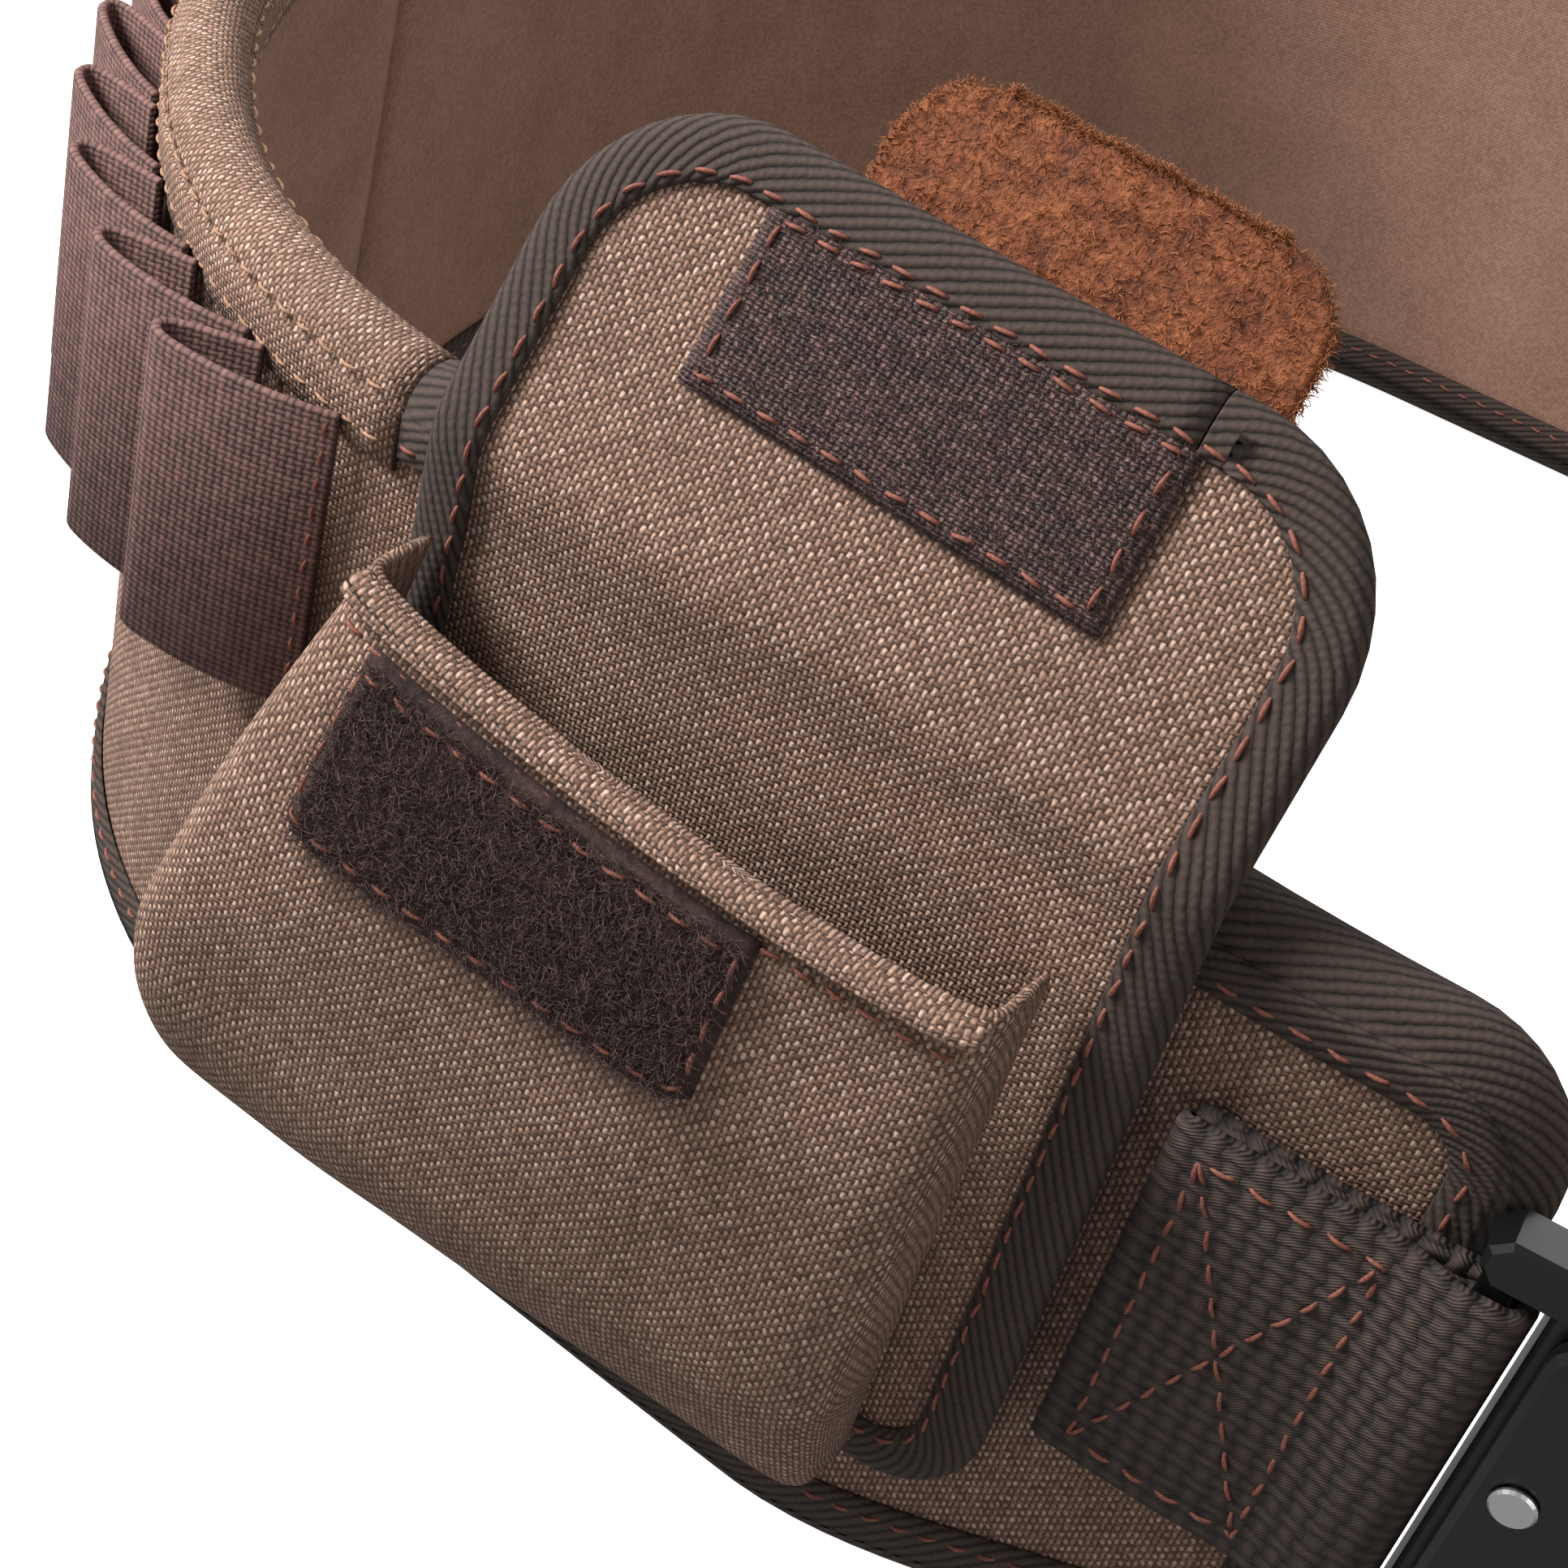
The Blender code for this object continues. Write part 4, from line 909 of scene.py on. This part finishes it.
def panelLine(b):
    # (out, z) and the lean angle of the panel's middle, b up from its bottom edge
    lean = math.radians(panel["lean"])
    bendWay = panel["bend"] * mm * lean
    start = panelRise - panel["bend"] * mm * math.tan(lean / 2)
    radius = panel["bend"] * mm
    z0 = panel["bottom"] * mm
    if b <= start:
        return hingeOut, z0 + b, 0.0
    if b <= start + bendWay:
        angle = (b - start) / radius
        return (hingeOut - radius * (1 - math.cos(angle)), z0 + start + radius * math.sin(angle), angle)
    rest = b - start - bendWay
    out = hingeOut - radius * (1 - math.cos(lean)) - rest * math.sin(lean)
    z = z0 + start + radius * math.sin(lean) + rest * math.cos(lean)
    return out, z, lean


def panelPlace(a, depth, b):
    out, z, lean = panelLine(b)
    return place(panelAt + a, out + depth * math.cos(lean), z + depth * math.sin(lean))


def panelHalf(b, inset):
    half = panel["width"] / 2 * mm - inset
    lowR, topR = panel["lowCorner"] * mm - inset, panel["topCorner"] * mm - inset
    under, over = lowR - (b - inset), topR - (panelLength - inset - b)
    if under > 0:
        return half - lowR + math.sqrt(max(0, lowR ** 2 - under ** 2))
    if over > 0:
        return half - topR + math.sqrt(max(0, topR ** 2 - over ** 2))
    return half


def panelOutline():
    half, low, high = panel["width"] / 2 * mm, panel["lowCorner"] * mm, panel["topCorner"] * mm
    points = [(-half * 0.3 + half * 0.6 * i / 12, 0.0) for i in range(13)]
    points += [(half - low + low * math.sin(math.radians(a)), low - low * math.cos(math.radians(a)))
               for a in range(0, 91, 10)]
    sideCount = 44
    points += [(half, low + (panelLength - high - low) * i / sideCount) for i in range(1, sideCount)]
    points += [(half - high + high * math.cos(math.radians(a)),
                panelLength - high + high * math.sin(math.radians(a))) for a in range(0, 91, 9)]
    return points


def blendFlap(piece):
    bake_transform(piece)


def makePanel():
    rows = round(panelLength / (panel["step"] * mm * detail))
    inset = 1.1 * mm
    points, uvs = [], []
    for r in range(rows + 1):
        b = inset + (panelLength - 2 * inset) * r / rows
        half = panelHalf(b, inset)
        line, marks = [], []
        for c in range(2 * panel["across"] + 1):
            a = half * (c / panel["across"] - 1)
            lift = rumple(Vector((a, b, 0.3)), 40, 0.45 * mm) * min(1, max(0, b / (20 * mm)))
            fromFold = b - panelRise + 9 * mm + 2 * mm * math.sin(a * 60)
            crease = -0.9 * mm * math.exp(-(fromFold / (5 * mm)) ** 2)
            line.append(panelPlace(a, panel["thick"] / 2 * mm + lift + crease * 0.6, b))
            marks.append((a, b))
        points.append(line)
        uvs.append(marks)
    cloth = gridObject("pouchPanel", points, uvs, "canvas", thickness=-1.5 * mm)
    faceTowards(cloth, outward(pouchAt) + Vector((0, 0, 0.4)))
    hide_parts("pouch_back", "flap_panel")
    blendFlap(cloth)


def makePanelTape():
    half = panelOutline()
    # starts and ends at the top, where the two ends of the tape overlap
    right = [(-a, b) for a, b in reversed(half)][:-13]
    path = right + half
    join = -24 * mm
    corner = (panel["width"] / 2 - panel["topCorner"]) * mm
    topLine = [(-corner * (1 - i / 14) + join * (i / 14), panelLength) for i in range(14)]
    closing = [(corner * (1 - i / 16) + join * (i / 16), panelLength) for i in range(17)]
    path = list(reversed(topLine)) + path[1:] + closing[1:]
    tape = foldedTape("panelTape", path, panelTape, panelPlace, "tape")
    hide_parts("pouch_binding", "flap_binding")
    blendFlap(tape)
    thread = stitching("panelTapeStitch", tapeStitchSpots(path, 6.0 * mm, 2.1 * mm, panelPlace), "rust")
    blendFlap(thread)
    spots = tapeStitchSpots(path, 6.0 * mm, -2.1 * mm, panelPlace, True)
    rear = stitching("panelTapeStitchBack", spots, "rust")
    blendFlap(rear)


makePanel()
makePanelTape()
print("pouch panel and flap made")

pouch = {
    "halfLeft": 42.0, "halfRight": 38.5, "spreadLeft": 10.0, "spreadRight": -1.5, "base": 5.9,
    "mouth": 105, "mouthDepth": 11.2, "mouthTilt": -0.4, "belly": 23, "bellyTilt": 8, "bellyAt": 53.5,
    "cornerTilt": 8.5, "floor": 30, "boxiness": 11.0, "wall": 1.6,
}
frontKnots = [(0.0, 0.0), (0.40, 0.25), (0.72, 0.50), (0.93, 0.78), (1.0, 1.0), (0.94, 1.32), (0.62, 1.74),
              (0.22, 1.94), (-0.10, 2.0)]


def frontLine():
    # down the front and under the belly: share of the depth, and the drop, 1 at the belly and 2 at the floor
    return smoothLine(frontKnots, 6)


def frontPoint(share, depthShare, drop, lift=0.0, crumple=0.0):
    # share runs from 1 at the left to -1 at the right; the mouth's rim dips in its middle
    side = "Left" if share > 0 else "Right"
    half = pouch["half" + side] + pouch["spread" + side] * min(1.0, drop)
    mouthDepth = pouch["mouthDepth"] + pouch["mouthTilt"] * share
    depth = mouthDepth + (pouch["belly"] + pouch["bellyTilt"] * share - mouthDepth) * depthShare
    if depthShare < 0:
        depth = mouthDepth * (1 + depthShare / 0.10)
    bellyAt = pouch["bellyAt"] + pouch["cornerTilt"] * share
    z = pouch["mouth"] + (bellyAt - pouch["mouth"]) * min(1.0, drop)
    z += max(0.0, drop - 1) * (pouch["floor"] - bellyAt)
    rim = max(0.0, 1 - max(0.0, drop) / 0.7)
    z += rim * (1.25 * share + 0.75 * share ** 2 - 2.6 * (1 - share ** 2))
    fullness = max(0.0, 1 - abs(share) ** pouch["boxiness"]) ** (1 / pouch["boxiness"])
    out = pouch["base"] * mm + max(0.0, depth * mm + crumple) * fullness
    return pouchPlace(half * share * mm, out + lift, z * mm)


def frontSpot(a, below, lift=0.0):
    # a across from the pouch's middle, below the mouth's rim, both in metres
    drop = below / ((pouch["mouth"] - pouch["bellyAt"]) * mm)
    line = frontKnots
    depthShare = 0.0
    for (d0, z0), (d1, z1) in zip(line, line[1:]):
        if z0 <= drop <= z1:
            depthShare = d0 + (d1 - d0) * (drop - z0) / (z1 - z0)
    side = "Left" if a > 0 else "Right"
    share = a / ((pouch["half" + side] + pouch["spread" + side] * drop) * mm)
    return frontPoint(max(-1.0, min(1.0, share)), depthShare, drop, lift)


def makeFront():
    line = frontLine()
    angles = [180 * i / 60 for i in range(61)]
    points, uvs = [], []
    way = 0.0
    for r, (depthShare, drop) in enumerate(line):
        if r:
            way += (frontPoint(0, depthShare, drop) - frontPoint(0, *line[r - 1])).length
        row, marks, around = [], [], 0.0
        for i, angle in enumerate(angles):
            cosine = math.cos(math.radians(angle))
            share = math.copysign(abs(cosine) ** 0.45, cosine)
            crumple = rumple(Vector((share * 0.042, way, 2.0)), 55, 1.1 * mm) * (1 - abs(share) ** 8)
            crumple *= min(1.0, way / (14 * mm)) ** 2
            spot = frontPoint(share, depthShare, drop, 0.0, crumple)
            if i:
                around += (spot - row[-1]).length
            row.append(spot)
            marks.append((around, way))
        middle = marks[30][0]
        points.append(row)
        uvs.append([(a - middle, w) for a, w in marks])
    front = gridObject("pouchFront", points, uvs, "canvas", thickness=-pouch["wall"] * mm)
    faceTowards(front, outward(pouchAt))
    softer = front.modifiers.new("soften", "SUBSURF")
    softer.levels = softer.render_levels = 1
    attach(front, "belt")
    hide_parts("pouch_front")
    makeMouthHem()


mouthTape = {"width": 2.6 * mm, "thick": 0.75 * mm, "front": -0.55 * mm, "back": -1.75 * mm, "crown": 0.1 * mm}


def makeMouthHem():
    # the rim is turned in on itself, so it is thick and round
    shares = [-0.965 + 1.93 * i / 120 for i in range(121)]
    edge = [frontPoint(share, 0.0, 0.0) for share in shares]
    ways = [0.0]
    for p, q in zip(edge, edge[1:]):
        ways.append(ways[-1] + (q - p).length)

    def spotAt(way, out, below):
        k = max(1, min(len(ways) - 1, sum(1 for w in ways if w < way)))
        t = (way - ways[k - 1]) / (ways[k] - ways[k - 1])
        share = shares[k - 1] + (shares[k] - shares[k - 1]) * t
        drop = -below / ((pouch["mouth"] - pouch["bellyAt"]) * mm)
        return frontPoint(share, drop * 1.6, drop, 0.0) + sideOf(share) * out

    def sideOf(share):
        # away from the pouch's inside, turning with the rim round its two ends
        p, q = frontPoint(share - 0.004, 0, 0), frontPoint(share + 0.004, 0, 0)
        run = (q - p).normalized()
        return Vector((run.y, -run.x, 0)).normalized()

    path = [(way, 0.0) for way in ways[::-1]]
    rim = foldedTape("mouthHem", path, mouthTape, spotAt, "hem")
    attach(rim, "belt")
    spots = []
    for i in range(141):
        a = (pouch["halfLeft"] - (pouch["halfLeft"] + pouch["halfRight"]) * i / 140) * 0.97 * mm
        spots.append((frontSpot(a, 5.2 * mm, 0.3 * mm), frontNormal(a)))
    thread = stitching("mouthStitch", spots, "rust")
    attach(thread, "belt")


def frontNormal(a):
    return (outward(pouchAt + a) + Vector((0, 0, 0.28))).normalized()


tapes = {
    "length": 50, "width": 20, "loopShift": 11, "loopBelow": 4.6, "hookAt": 15.3, "hookThick": 1.0,
    "loopHairs": (2500, 8000), "hookHairs": (900, 4200),
}


def makeLoopTape():
    top = tapes["loopBelow"] * mm
    drop = tapes["width"] * mm * 1.05
    chance = random.Random(5)

    def spot(i, j, lift):
        # i down, j across, each from 0 to 1, with two rounded lower corners
        a = tapes["loopShift"] * mm + tapes["length"] * mm * (0.5 - j)
        corner = max(0.0, abs(j - 0.5) * tapes["length"] - tapes["length"] / 2 + 5) / 5
        return frontSpot(a, top + drop * i * (1 - 0.10 * corner ** 2), lift)

    points, uvs = [], []
    for i in range(13):
        row = [spot(i / 12, j / 40, (0.55 + 1.0 * min(1, min(i, 12 - i, j / 2, (40 - j) / 2))) * mm)
               for j in range(41)]
        points.append(row)
        uvs.append([(j / 40 * tapes["length"] * mm, i / 12 * drop) for j in range(41)])
    tape = gridObject("loopTape", points, uvs, "loop", thickness=-0.9 * mm)
    faceTowards(tape, outward(pouchAt))
    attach(tape, "belt")
    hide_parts("loop_tape")
    hairs = []
    for _ in range(tapes["loopHairs"][1]):
        i, j = chance.uniform(0.03, 0.97), chance.uniform(0.015, 0.985)
        hairs.append((spot(i, j, 1.5 * mm), frontNormal(tapes["loopShift"] * mm)))
    pile = fibres("loopPile", hairs, "fibre", 2.3 * mm, 0.055 * mm, 0.9, 11)
    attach(pile, "belt")
    outline = roundRectangle(0.02, 0.89, 0.98, 0.09, 60, 20)
    spots = [(spot(i, j, 1.9 * mm), frontNormal(tapes["loopShift"] * mm)) for j, i in outline]
    thread = stitching("loopTapeStitch", spots, "rust")
    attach(thread, "belt")


def flapPlace(a, depth, b):
    # b up from the hinge
    return panelPlace(a, depth, panelRise + b)


def makeHookTape():
    base, thick = 1.25 * mm, tapes["hookThick"] * mm
    points, uvs = [], []
    for i in range(13):
        b = (tapes["hookAt"] + tapes["width"] * i / 12) * mm
        row, marks = [], []
        for j in range(41):
            a = tapes["length"] * mm * (0.5 - j / 40)
            edge = min(1.0, i, 12 - i, j / 2, (40 - j) / 2)
            row.append(flapPlace(a, base + thick * (0.35 + 0.65 * edge), b))
            marks.append((a, b))
        points.append(row)
        uvs.append(marks)
    tape = gridObject("hookTape", points, uvs, "hook", thickness=-0.8 * mm)
    lean = math.radians(panel["lean"])
    face = outward(pouchAt) * math.cos(lean) + Vector((0, 0, 1)) * math.sin(lean)
    faceTowards(tape, face)
    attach(tape, "flap")
    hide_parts("hook_tape")
    chance = random.Random(8)
    hooks = []
    for _ in range(tapes["hookHairs"][1]):
        a = tapes["length"] * mm * chance.uniform(-0.49, 0.49)
        b = (tapes["hookAt"] + tapes["width"] * chance.uniform(0.03, 0.97)) * mm
        hooks.append((flapPlace(a, base + thick, b), face))
    pile = fibres("hookPileTips", hooks, "fibre", 0.75 * mm, 0.05 * mm, 0.9, 3)
    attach(pile, "flap")
    half, low, high = tapes["length"] / 2 - 2.0, tapes["hookAt"] + 1.6, tapes["hookAt"] + tapes["width"] - 1.6
    outline = roundRectangle(half, low, -half, high, 60, 24)
    spots = [(flapPlace(a * mm, base + thick + 0.1 * mm, b * mm), face) for a, b in outline]
    thread = stitching("hookTapeStitch", spots, "rust")
    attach(thread, "flap")


tab = {
    "width": 49, "reach": 13.5, "root": 9, "shift": -4.5, "corner": 9, "thick": 1.8,
    "hairs": (1500, 4500),
}


def makeTab():
    back = -(0.85 + 0.6 + 0.8) * mm
    halfWide = tab["width"] / 2 * mm
    tall = (tab["reach"] + tab["root"]) * mm
    radius = tab["corner"] * mm
    chance = random.Random(4)
    rows, columns = 26, 44
    layers = []
    for depth in (back, back - tab["thick"] * mm):
        grid = []
        for i in range(rows + 1):
            t = i / rows
            b = tall * t
            over = radius - (tall - b)
            half = halfWide - (radius - math.sqrt(max(0, radius ** 2 - over ** 2)) if over > 0 else 0)
            row = []
            for j in range(columns + 1):
                a = half * (1 - 2 * j / columns)
                ragged = 0.0
                if j in (0, columns) or i == rows:
                    ragged = (rumple(Vector((a, b, 7.0)), 900, 0.55 * mm)
                              + rumple(Vector((a, b, 3.0)), 260, 0.5 * mm))
                curl = 1.6 * mm * (t ** 2) * (0.4 + a / halfWide * 0.5)
                pull = Vector((a, b)).normalized() * ragged if ragged else Vector((0, 0))
                lift = rumple(Vector((a, b, 1)), 120, 0.35 * mm) - curl
                row.append(flapPlace(tab["shift"] * mm + a + pull.x, depth + lift,
                                     (panel["flapLength"] - tab["root"]) * mm + b + pull.y))
            grid.append(row)
        layers.append(grid)
    mesh = bpy.data.meshes.new("leatherTab")
    work = bmesh.new()
    skins = [[[work.verts.new(p) for p in row] for row in grid] for grid in layers]
    for skin in skins:
        for i in range(rows):
            for j in range(columns):
                work.faces.new((skin[i][j], skin[i][j + 1], skin[i + 1][j + 1], skin[i + 1][j]))
    border = [(0, j) for j in range(columns)] + [(i, columns) for i in range(rows)]
    border += [(rows, j) for j in range(columns, 0, -1)] + [(i, 0) for i in range(rows, 0, -1)]
    upper, lower = skins
    for (ia, ja), (ib, jb) in zip(border, border[1:] + border[:1]):
        work.faces.new((upper[ia][ja], upper[ib][jb], lower[ib][jb], lower[ia][ja]))
    bmesh.ops.recalc_face_normals(work, faces=work.faces)
    work.to_mesh(mesh)
    work.free()
    hide = newObject("leatherTab", mesh, "suede")
    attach(hide, "flap")
    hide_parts("leather_tab")
    spots = []
    front = layers[0]
    for _ in range(tab["hairs"][1]):
        i, j = chance.randrange(rows + 1), chance.randrange(columns + 1)
        if chance.random() < 0.6:
            i, j = (rows, j) if chance.random() < 0.6 else (i, chance.choice((0, columns)))
        p = front[i][j].lerp(layers[1][i][j], chance.random() if i == rows or j in (0, columns) else 0.0)
        q = front[min(i + 1, rows)][min(j + 1, columns)]
        p = p.lerp(q, chance.random() * 0.9)
        away = (front[i][j] - front[rows // 2][columns // 2]).normalized()
        spots.append((p, (away * 0.6 + outward(pouchAt) * 0.4 + Vector((0, 0, 0.5))).normalized()))
    fluff = fibres("tabFluff", spots, "hide", 1.3 * mm, 0.07 * mm, 0.7, 21)
    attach(fluff, "flap")


makeFront()
makeLoopTape()
makeHookTape()
makeTab()
print("pouch front, tapes and tab made")

# x runs right from the band's left end
buckle = {
    "webHalf": 25, "web": 2.0, "centre": 72, "sewn": 33, "barAt": -1.8, "barWide": 4, "barThick": 2,
    "webOut": 1.4, "slack": 0.3, "bodyEnd": 40, "floor": 2.0, "bodyBack": 1.6, "bodyThick": 5.6,
    "maleRail": 5, "slot": 16, "tailEnd": 118,
}


def frontPlace(x, out, z):
    return bandStart + Vector((x, -out, z))


def makeWebbing():
    b = {name: value * mm for name, value in buckle.items()}
    centre = b["centre"]
    low, high = centre - b["webHalf"], centre + b["webHalf"]
    back = b["webOut"] + b["web"] / 2
    barBack = b["webOut"] + b["web"] + b["slack"]
    over = barBack + b["barThick"] + b["slack"] + b["web"] / 2
    radius = (over - back) / 2
    lead = b["barWide"] / 2 - b["barThick"] / 2
    turn = [(-b["barAt"] - lead - radius * math.sin(math.radians(a)),
             back + radius - radius * math.cos(math.radians(a))) for a in range(0, 181, 12)]
    sewn = back + b["web"] + b["slack"]
    ends = smoothLine([(-b["barAt"] + 3.0 * mm, over), (8.5 * mm, sewn + 0.9 * mm), (12.5 * mm, sewn),
                       (22 * mm, sewn), (b["sewn"] - 0.6 * mm, sewn), (b["sewn"], sewn - 0.5 * mm)], 8)
    line = [(b["sewn"], back), (22 * mm, back), (10 * mm, back)] + turn + ends
    strap = stripSolid("webbingLeft", line, b["web"], low, high, place, "web")
    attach(strap, "belt")
    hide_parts("webbing_left")
    face = sewn + b["web"] / 2 + 0.05 * mm
    left, right, bottom, top = b["sewn"] - 2.6 * mm, 11.5 * mm, low + 3.5 * mm, high - 3.5 * mm
    ways = {"Box": [(left, bottom), (left, top), (right, top), (right, bottom), (left, bottom)],
            "CrossA": [(left, bottom), (right, top)], "CrossB": [(left, top), (right, bottom)]}
    for name, corners in ways.items():
        spots = []
        for (s0, z0), (s1, z1) in zip(corners, corners[1:]):
            for k in range(40):
                t = k / 40
                s = s0 + (s1 - s0) * t
                spots.append((place(s, face, z0 + (z1 - z0) * t), outward(s)))
        thread = stitching(f"webStitch{name}", spots, "rust")
        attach(thread, "belt")
    first = bandLength - b["sewn"]
    last = bandLength + plan["gap"] * mm - b["bodyEnd"] - 0.5 * mm - b["maleRail"]
    lineRight = [(first + b["sewn"] * i / 8, back) for i in range(9)]
    lineRight += [(bandLength + (last - bandLength) * i / 6, back) for i in range(1, 7)]
    strap = stripSolid("webbingRight", lineRight, b["web"], low, high, place, "web")
    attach(strap, "belt")
    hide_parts("webbing_right")
    tongueFace = b["bodyBack"] + b["bodyThick"] - 0.5 * mm
    tongueBack = b["bodyBack"] + b["floor"] + 0.5 * mm
    slotStart = b["bodyEnd"] + 0.5 * mm + b["maleRail"]
    slotEnd = slotStart + b["slot"]
    bar = (slotStart + slotEnd) / 2
    barOut = (tongueBack + tongueFace - b["barThick"]) / 2
    tailOut = tongueFace + b["slack"] + b["web"] / 2
    side = bar - b["barWide"] / 2 - b["slack"] - b["web"] / 2
    knots = [(side, barOut), (side, barOut + 1.0 * mm), (side + 0.6 * mm, tailOut - 0.6 * mm),
             (side + 2.2 * mm, tailOut), (bar, tailOut), (slotEnd, tailOut), (b["tailEnd"], tailOut)]
    tail = stripSolid("webbingTail", smoothLine(knots, 6), b["web"], low, high, frontPlace, "web")
    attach(tail, "male_half")
    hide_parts("webbing_tail")
    return tailOut + b["web"] / 2


keeper = {"fromRightEnd": 19, "width": 10, "wall": 1.0, "back": 1.1, "bend": 0.6}


def makeKeeper(face):
    start = (plan["gap"] - keeper["fromRightEnd"]) * mm
    width, wall = keeper["width"] * mm, keeper["wall"] * mm
    half = buckle["webHalf"] * mm + buckle["slack"] * mm
    low, high = keeper["back"] * mm, face + buckle["slack"] * mm
    centre = buckle["centre"] * mm
    rings = []
    for grow in (wall, 0.0):
        ring = []
        radius = keeper["bend"] * mm + grow
        outX, inX, side = high + grow - radius, low - grow + radius, half + grow - radius
        for cx, cz, first in ((outX, side, 0), (inX, side, 90), (inX, -side, 180), (outX, -side, 270)):
            for k in range(5):
                angle = math.radians(first + 22.5 * k)
                ring.append((cx + radius * math.cos(angle), cz + radius * math.sin(angle)))
        rings.append(ring)
    outer, inner = rings
    stations = [(start, outer, 0.15), (start + 0.4 * mm, outer, 0.0), (start + width / 2, outer, 0.0),
                (start + width - 0.4 * mm, outer, 0.0), (start + width, outer, 0.15),
                (start + width, inner, 0.0), (start + width / 2, inner, 0.0), (start, inner, 0.0)]
    mesh = bpy.data.meshes.new("strapKeeper")
    work = bmesh.new()
    layer = work.loops.layers.uv.new("UVMap")
    rows = [[work.verts.new(frontPlace(x, out * (1 - sink * 0.02), centre + z)) for out, z in ring]
            for x, ring, sink in stations]
    count = len(outer)
    for r in range(len(rows)):
        nextRow = rows[(r + 1) % len(rows)]
        for k in range(count):
            m = (k + 1) % count
            made = work.faces.new((rows[r][k], rows[r][m], nextRow[m], nextRow[k]))
            for loop, (x, z) in zip(made.loops, ((r, k), (r, k + 1), (r + 1, k + 1), (r + 1, k))):
                loop[layer].uv = (stations[x % len(rows)][0], z * 5 * mm)
    bmesh.ops.recalc_face_normals(work, faces=work.faces)
    work.to_mesh(mesh)
    work.free()
    strap = newObject("strapKeeper", mesh, "elastic")
    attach(strap, "belt")
    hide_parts("strap_keeper")


# how far each metal piece's edges are broken
metalEdges = {
    "buckle_body": 0.3, "buckle_cover": 0.25, "tongue_frame": 0.35, "strap_bar": 0.0, "adjuster_bar": 0.0,
    "release_button_upper": 0.25, "release_button_lower": 0.25, "rivet_1": 0.0, "rivet_2": 0.0, "rivet_3": 0.0,
    "release_spring_upper": 0.0, "release_spring_lower": 0.0,
}


def finishMetal():
    for name, edge in metalEdges.items():
        node = nodes[name]
        node.data.materials.clear()
        bright = name.startswith(("rivet", "release_spring"))
        node.data.materials.append(materials["steel" if bright else "lacquer"])
        if edge:
            soft = node.modifiers.new("edges", "BEVEL")
            soft.width = edge * mm
            soft.segments = 2
            soft.limit_method = "ANGLE"
            soft.angle_limit = math.radians(35)
            soft.harden_normals = False


tailFace = makeWebbing()
makeKeeper(tailFace)
finishMetal()
print("webbing and buckle made")

light = {"world": 0.34, "key": 10.6, "fill": 2.6, "rim": 5.0, "aim": (-0.08, -0.12, 0.08)}
eye = {"fromBand": (-0.02256, -0.20564, 0.27875), "down": 38.73, "turn": -16.22, "roll": 17.2, "lens": 65.2}


def makeStage():
    mesh = bpy.data.meshes.new("floor")
    mesh.from_pydata([(-6, -6, 0), (6, -6, 0), (6, 6, 0), (-6, 6, 0)], [], [(0, 1, 2, 3)])
    made, _, shader = newMaterial("paleFloor", 0.8, (0.9, 0.9, 0.9))
    shader.inputs["Emission Color"].default_value = (1, 1, 1, 1)
    shader.inputs["Emission Strength"].default_value = 0.9
    floor = bpy.data.objects.new("floor", mesh)
    bpy.context.scene.collection.objects.link(floor)
    mesh.materials.append(made)
    floor.visible_diffuse = False
    floor.visible_glossy = False
    world = bpy.data.worlds.new("studio")
    bpy.context.scene.world = world
    world.use_nodes = True
    world.node_tree.nodes["Background"].inputs[0].default_value = (1, 1, 1, 1)
    world.node_tree.nodes["Background"].inputs[1].default_value = light["world"]
    for name, spot, size, power in (("key", (-0.66, -0.27, 0.56), 0.32, light["key"]),
                                    ("fill", (0.9, -0.9, 0.7), 0.9, light["fill"]),
                                    ("rim", (0.2, 1.1, 1.0), 0.9, light["rim"])):
        lamp = bpy.data.lights.new(name, "AREA")
        lamp.size = size
        lamp.energy = power
        made = bpy.data.objects.new(name, lamp)
        made.location = spot
        made.rotation_euler = (Vector(light["aim"]) - Vector(spot)).to_track_quat("-Z", "Y").to_euler()
        bpy.context.scene.collection.objects.link(made)


def makeCamera():
    data = bpy.data.cameras.new("camera")
    data.lens = eye["lens"]
    data.sensor_width = 36
    data.clip_start = 0.01
    made = bpy.data.objects.new("camera", data)
    down, turn, roll = (math.radians(eye[k]) for k in ("down", "turn", "roll"))
    forward = Vector((math.sin(turn) * math.cos(down), math.cos(turn) * math.cos(down), -math.sin(down)))
    right = Vector((math.cos(turn), -math.sin(turn), 0))
    up = right.cross(forward)
    camRight = right * math.cos(roll) + up * math.sin(roll)
    camUp = up * math.cos(roll) - right * math.sin(roll)
    made.matrix_world = fromAxes(camRight, camUp, -forward, bandStart + Vector(eye["fromBand"]))
    bpy.context.scene.collection.objects.link(made)
    bpy.context.scene.camera = made


def fromAxes(x, y, z, spot):
    made = Matrix((x, y, z)).transposed().to_4x4()
    made.translation = spot
    return made


makeStage()
makeCamera()
bpy.context.scene.view_settings.view_transform = "Standard"


print("scene ready")
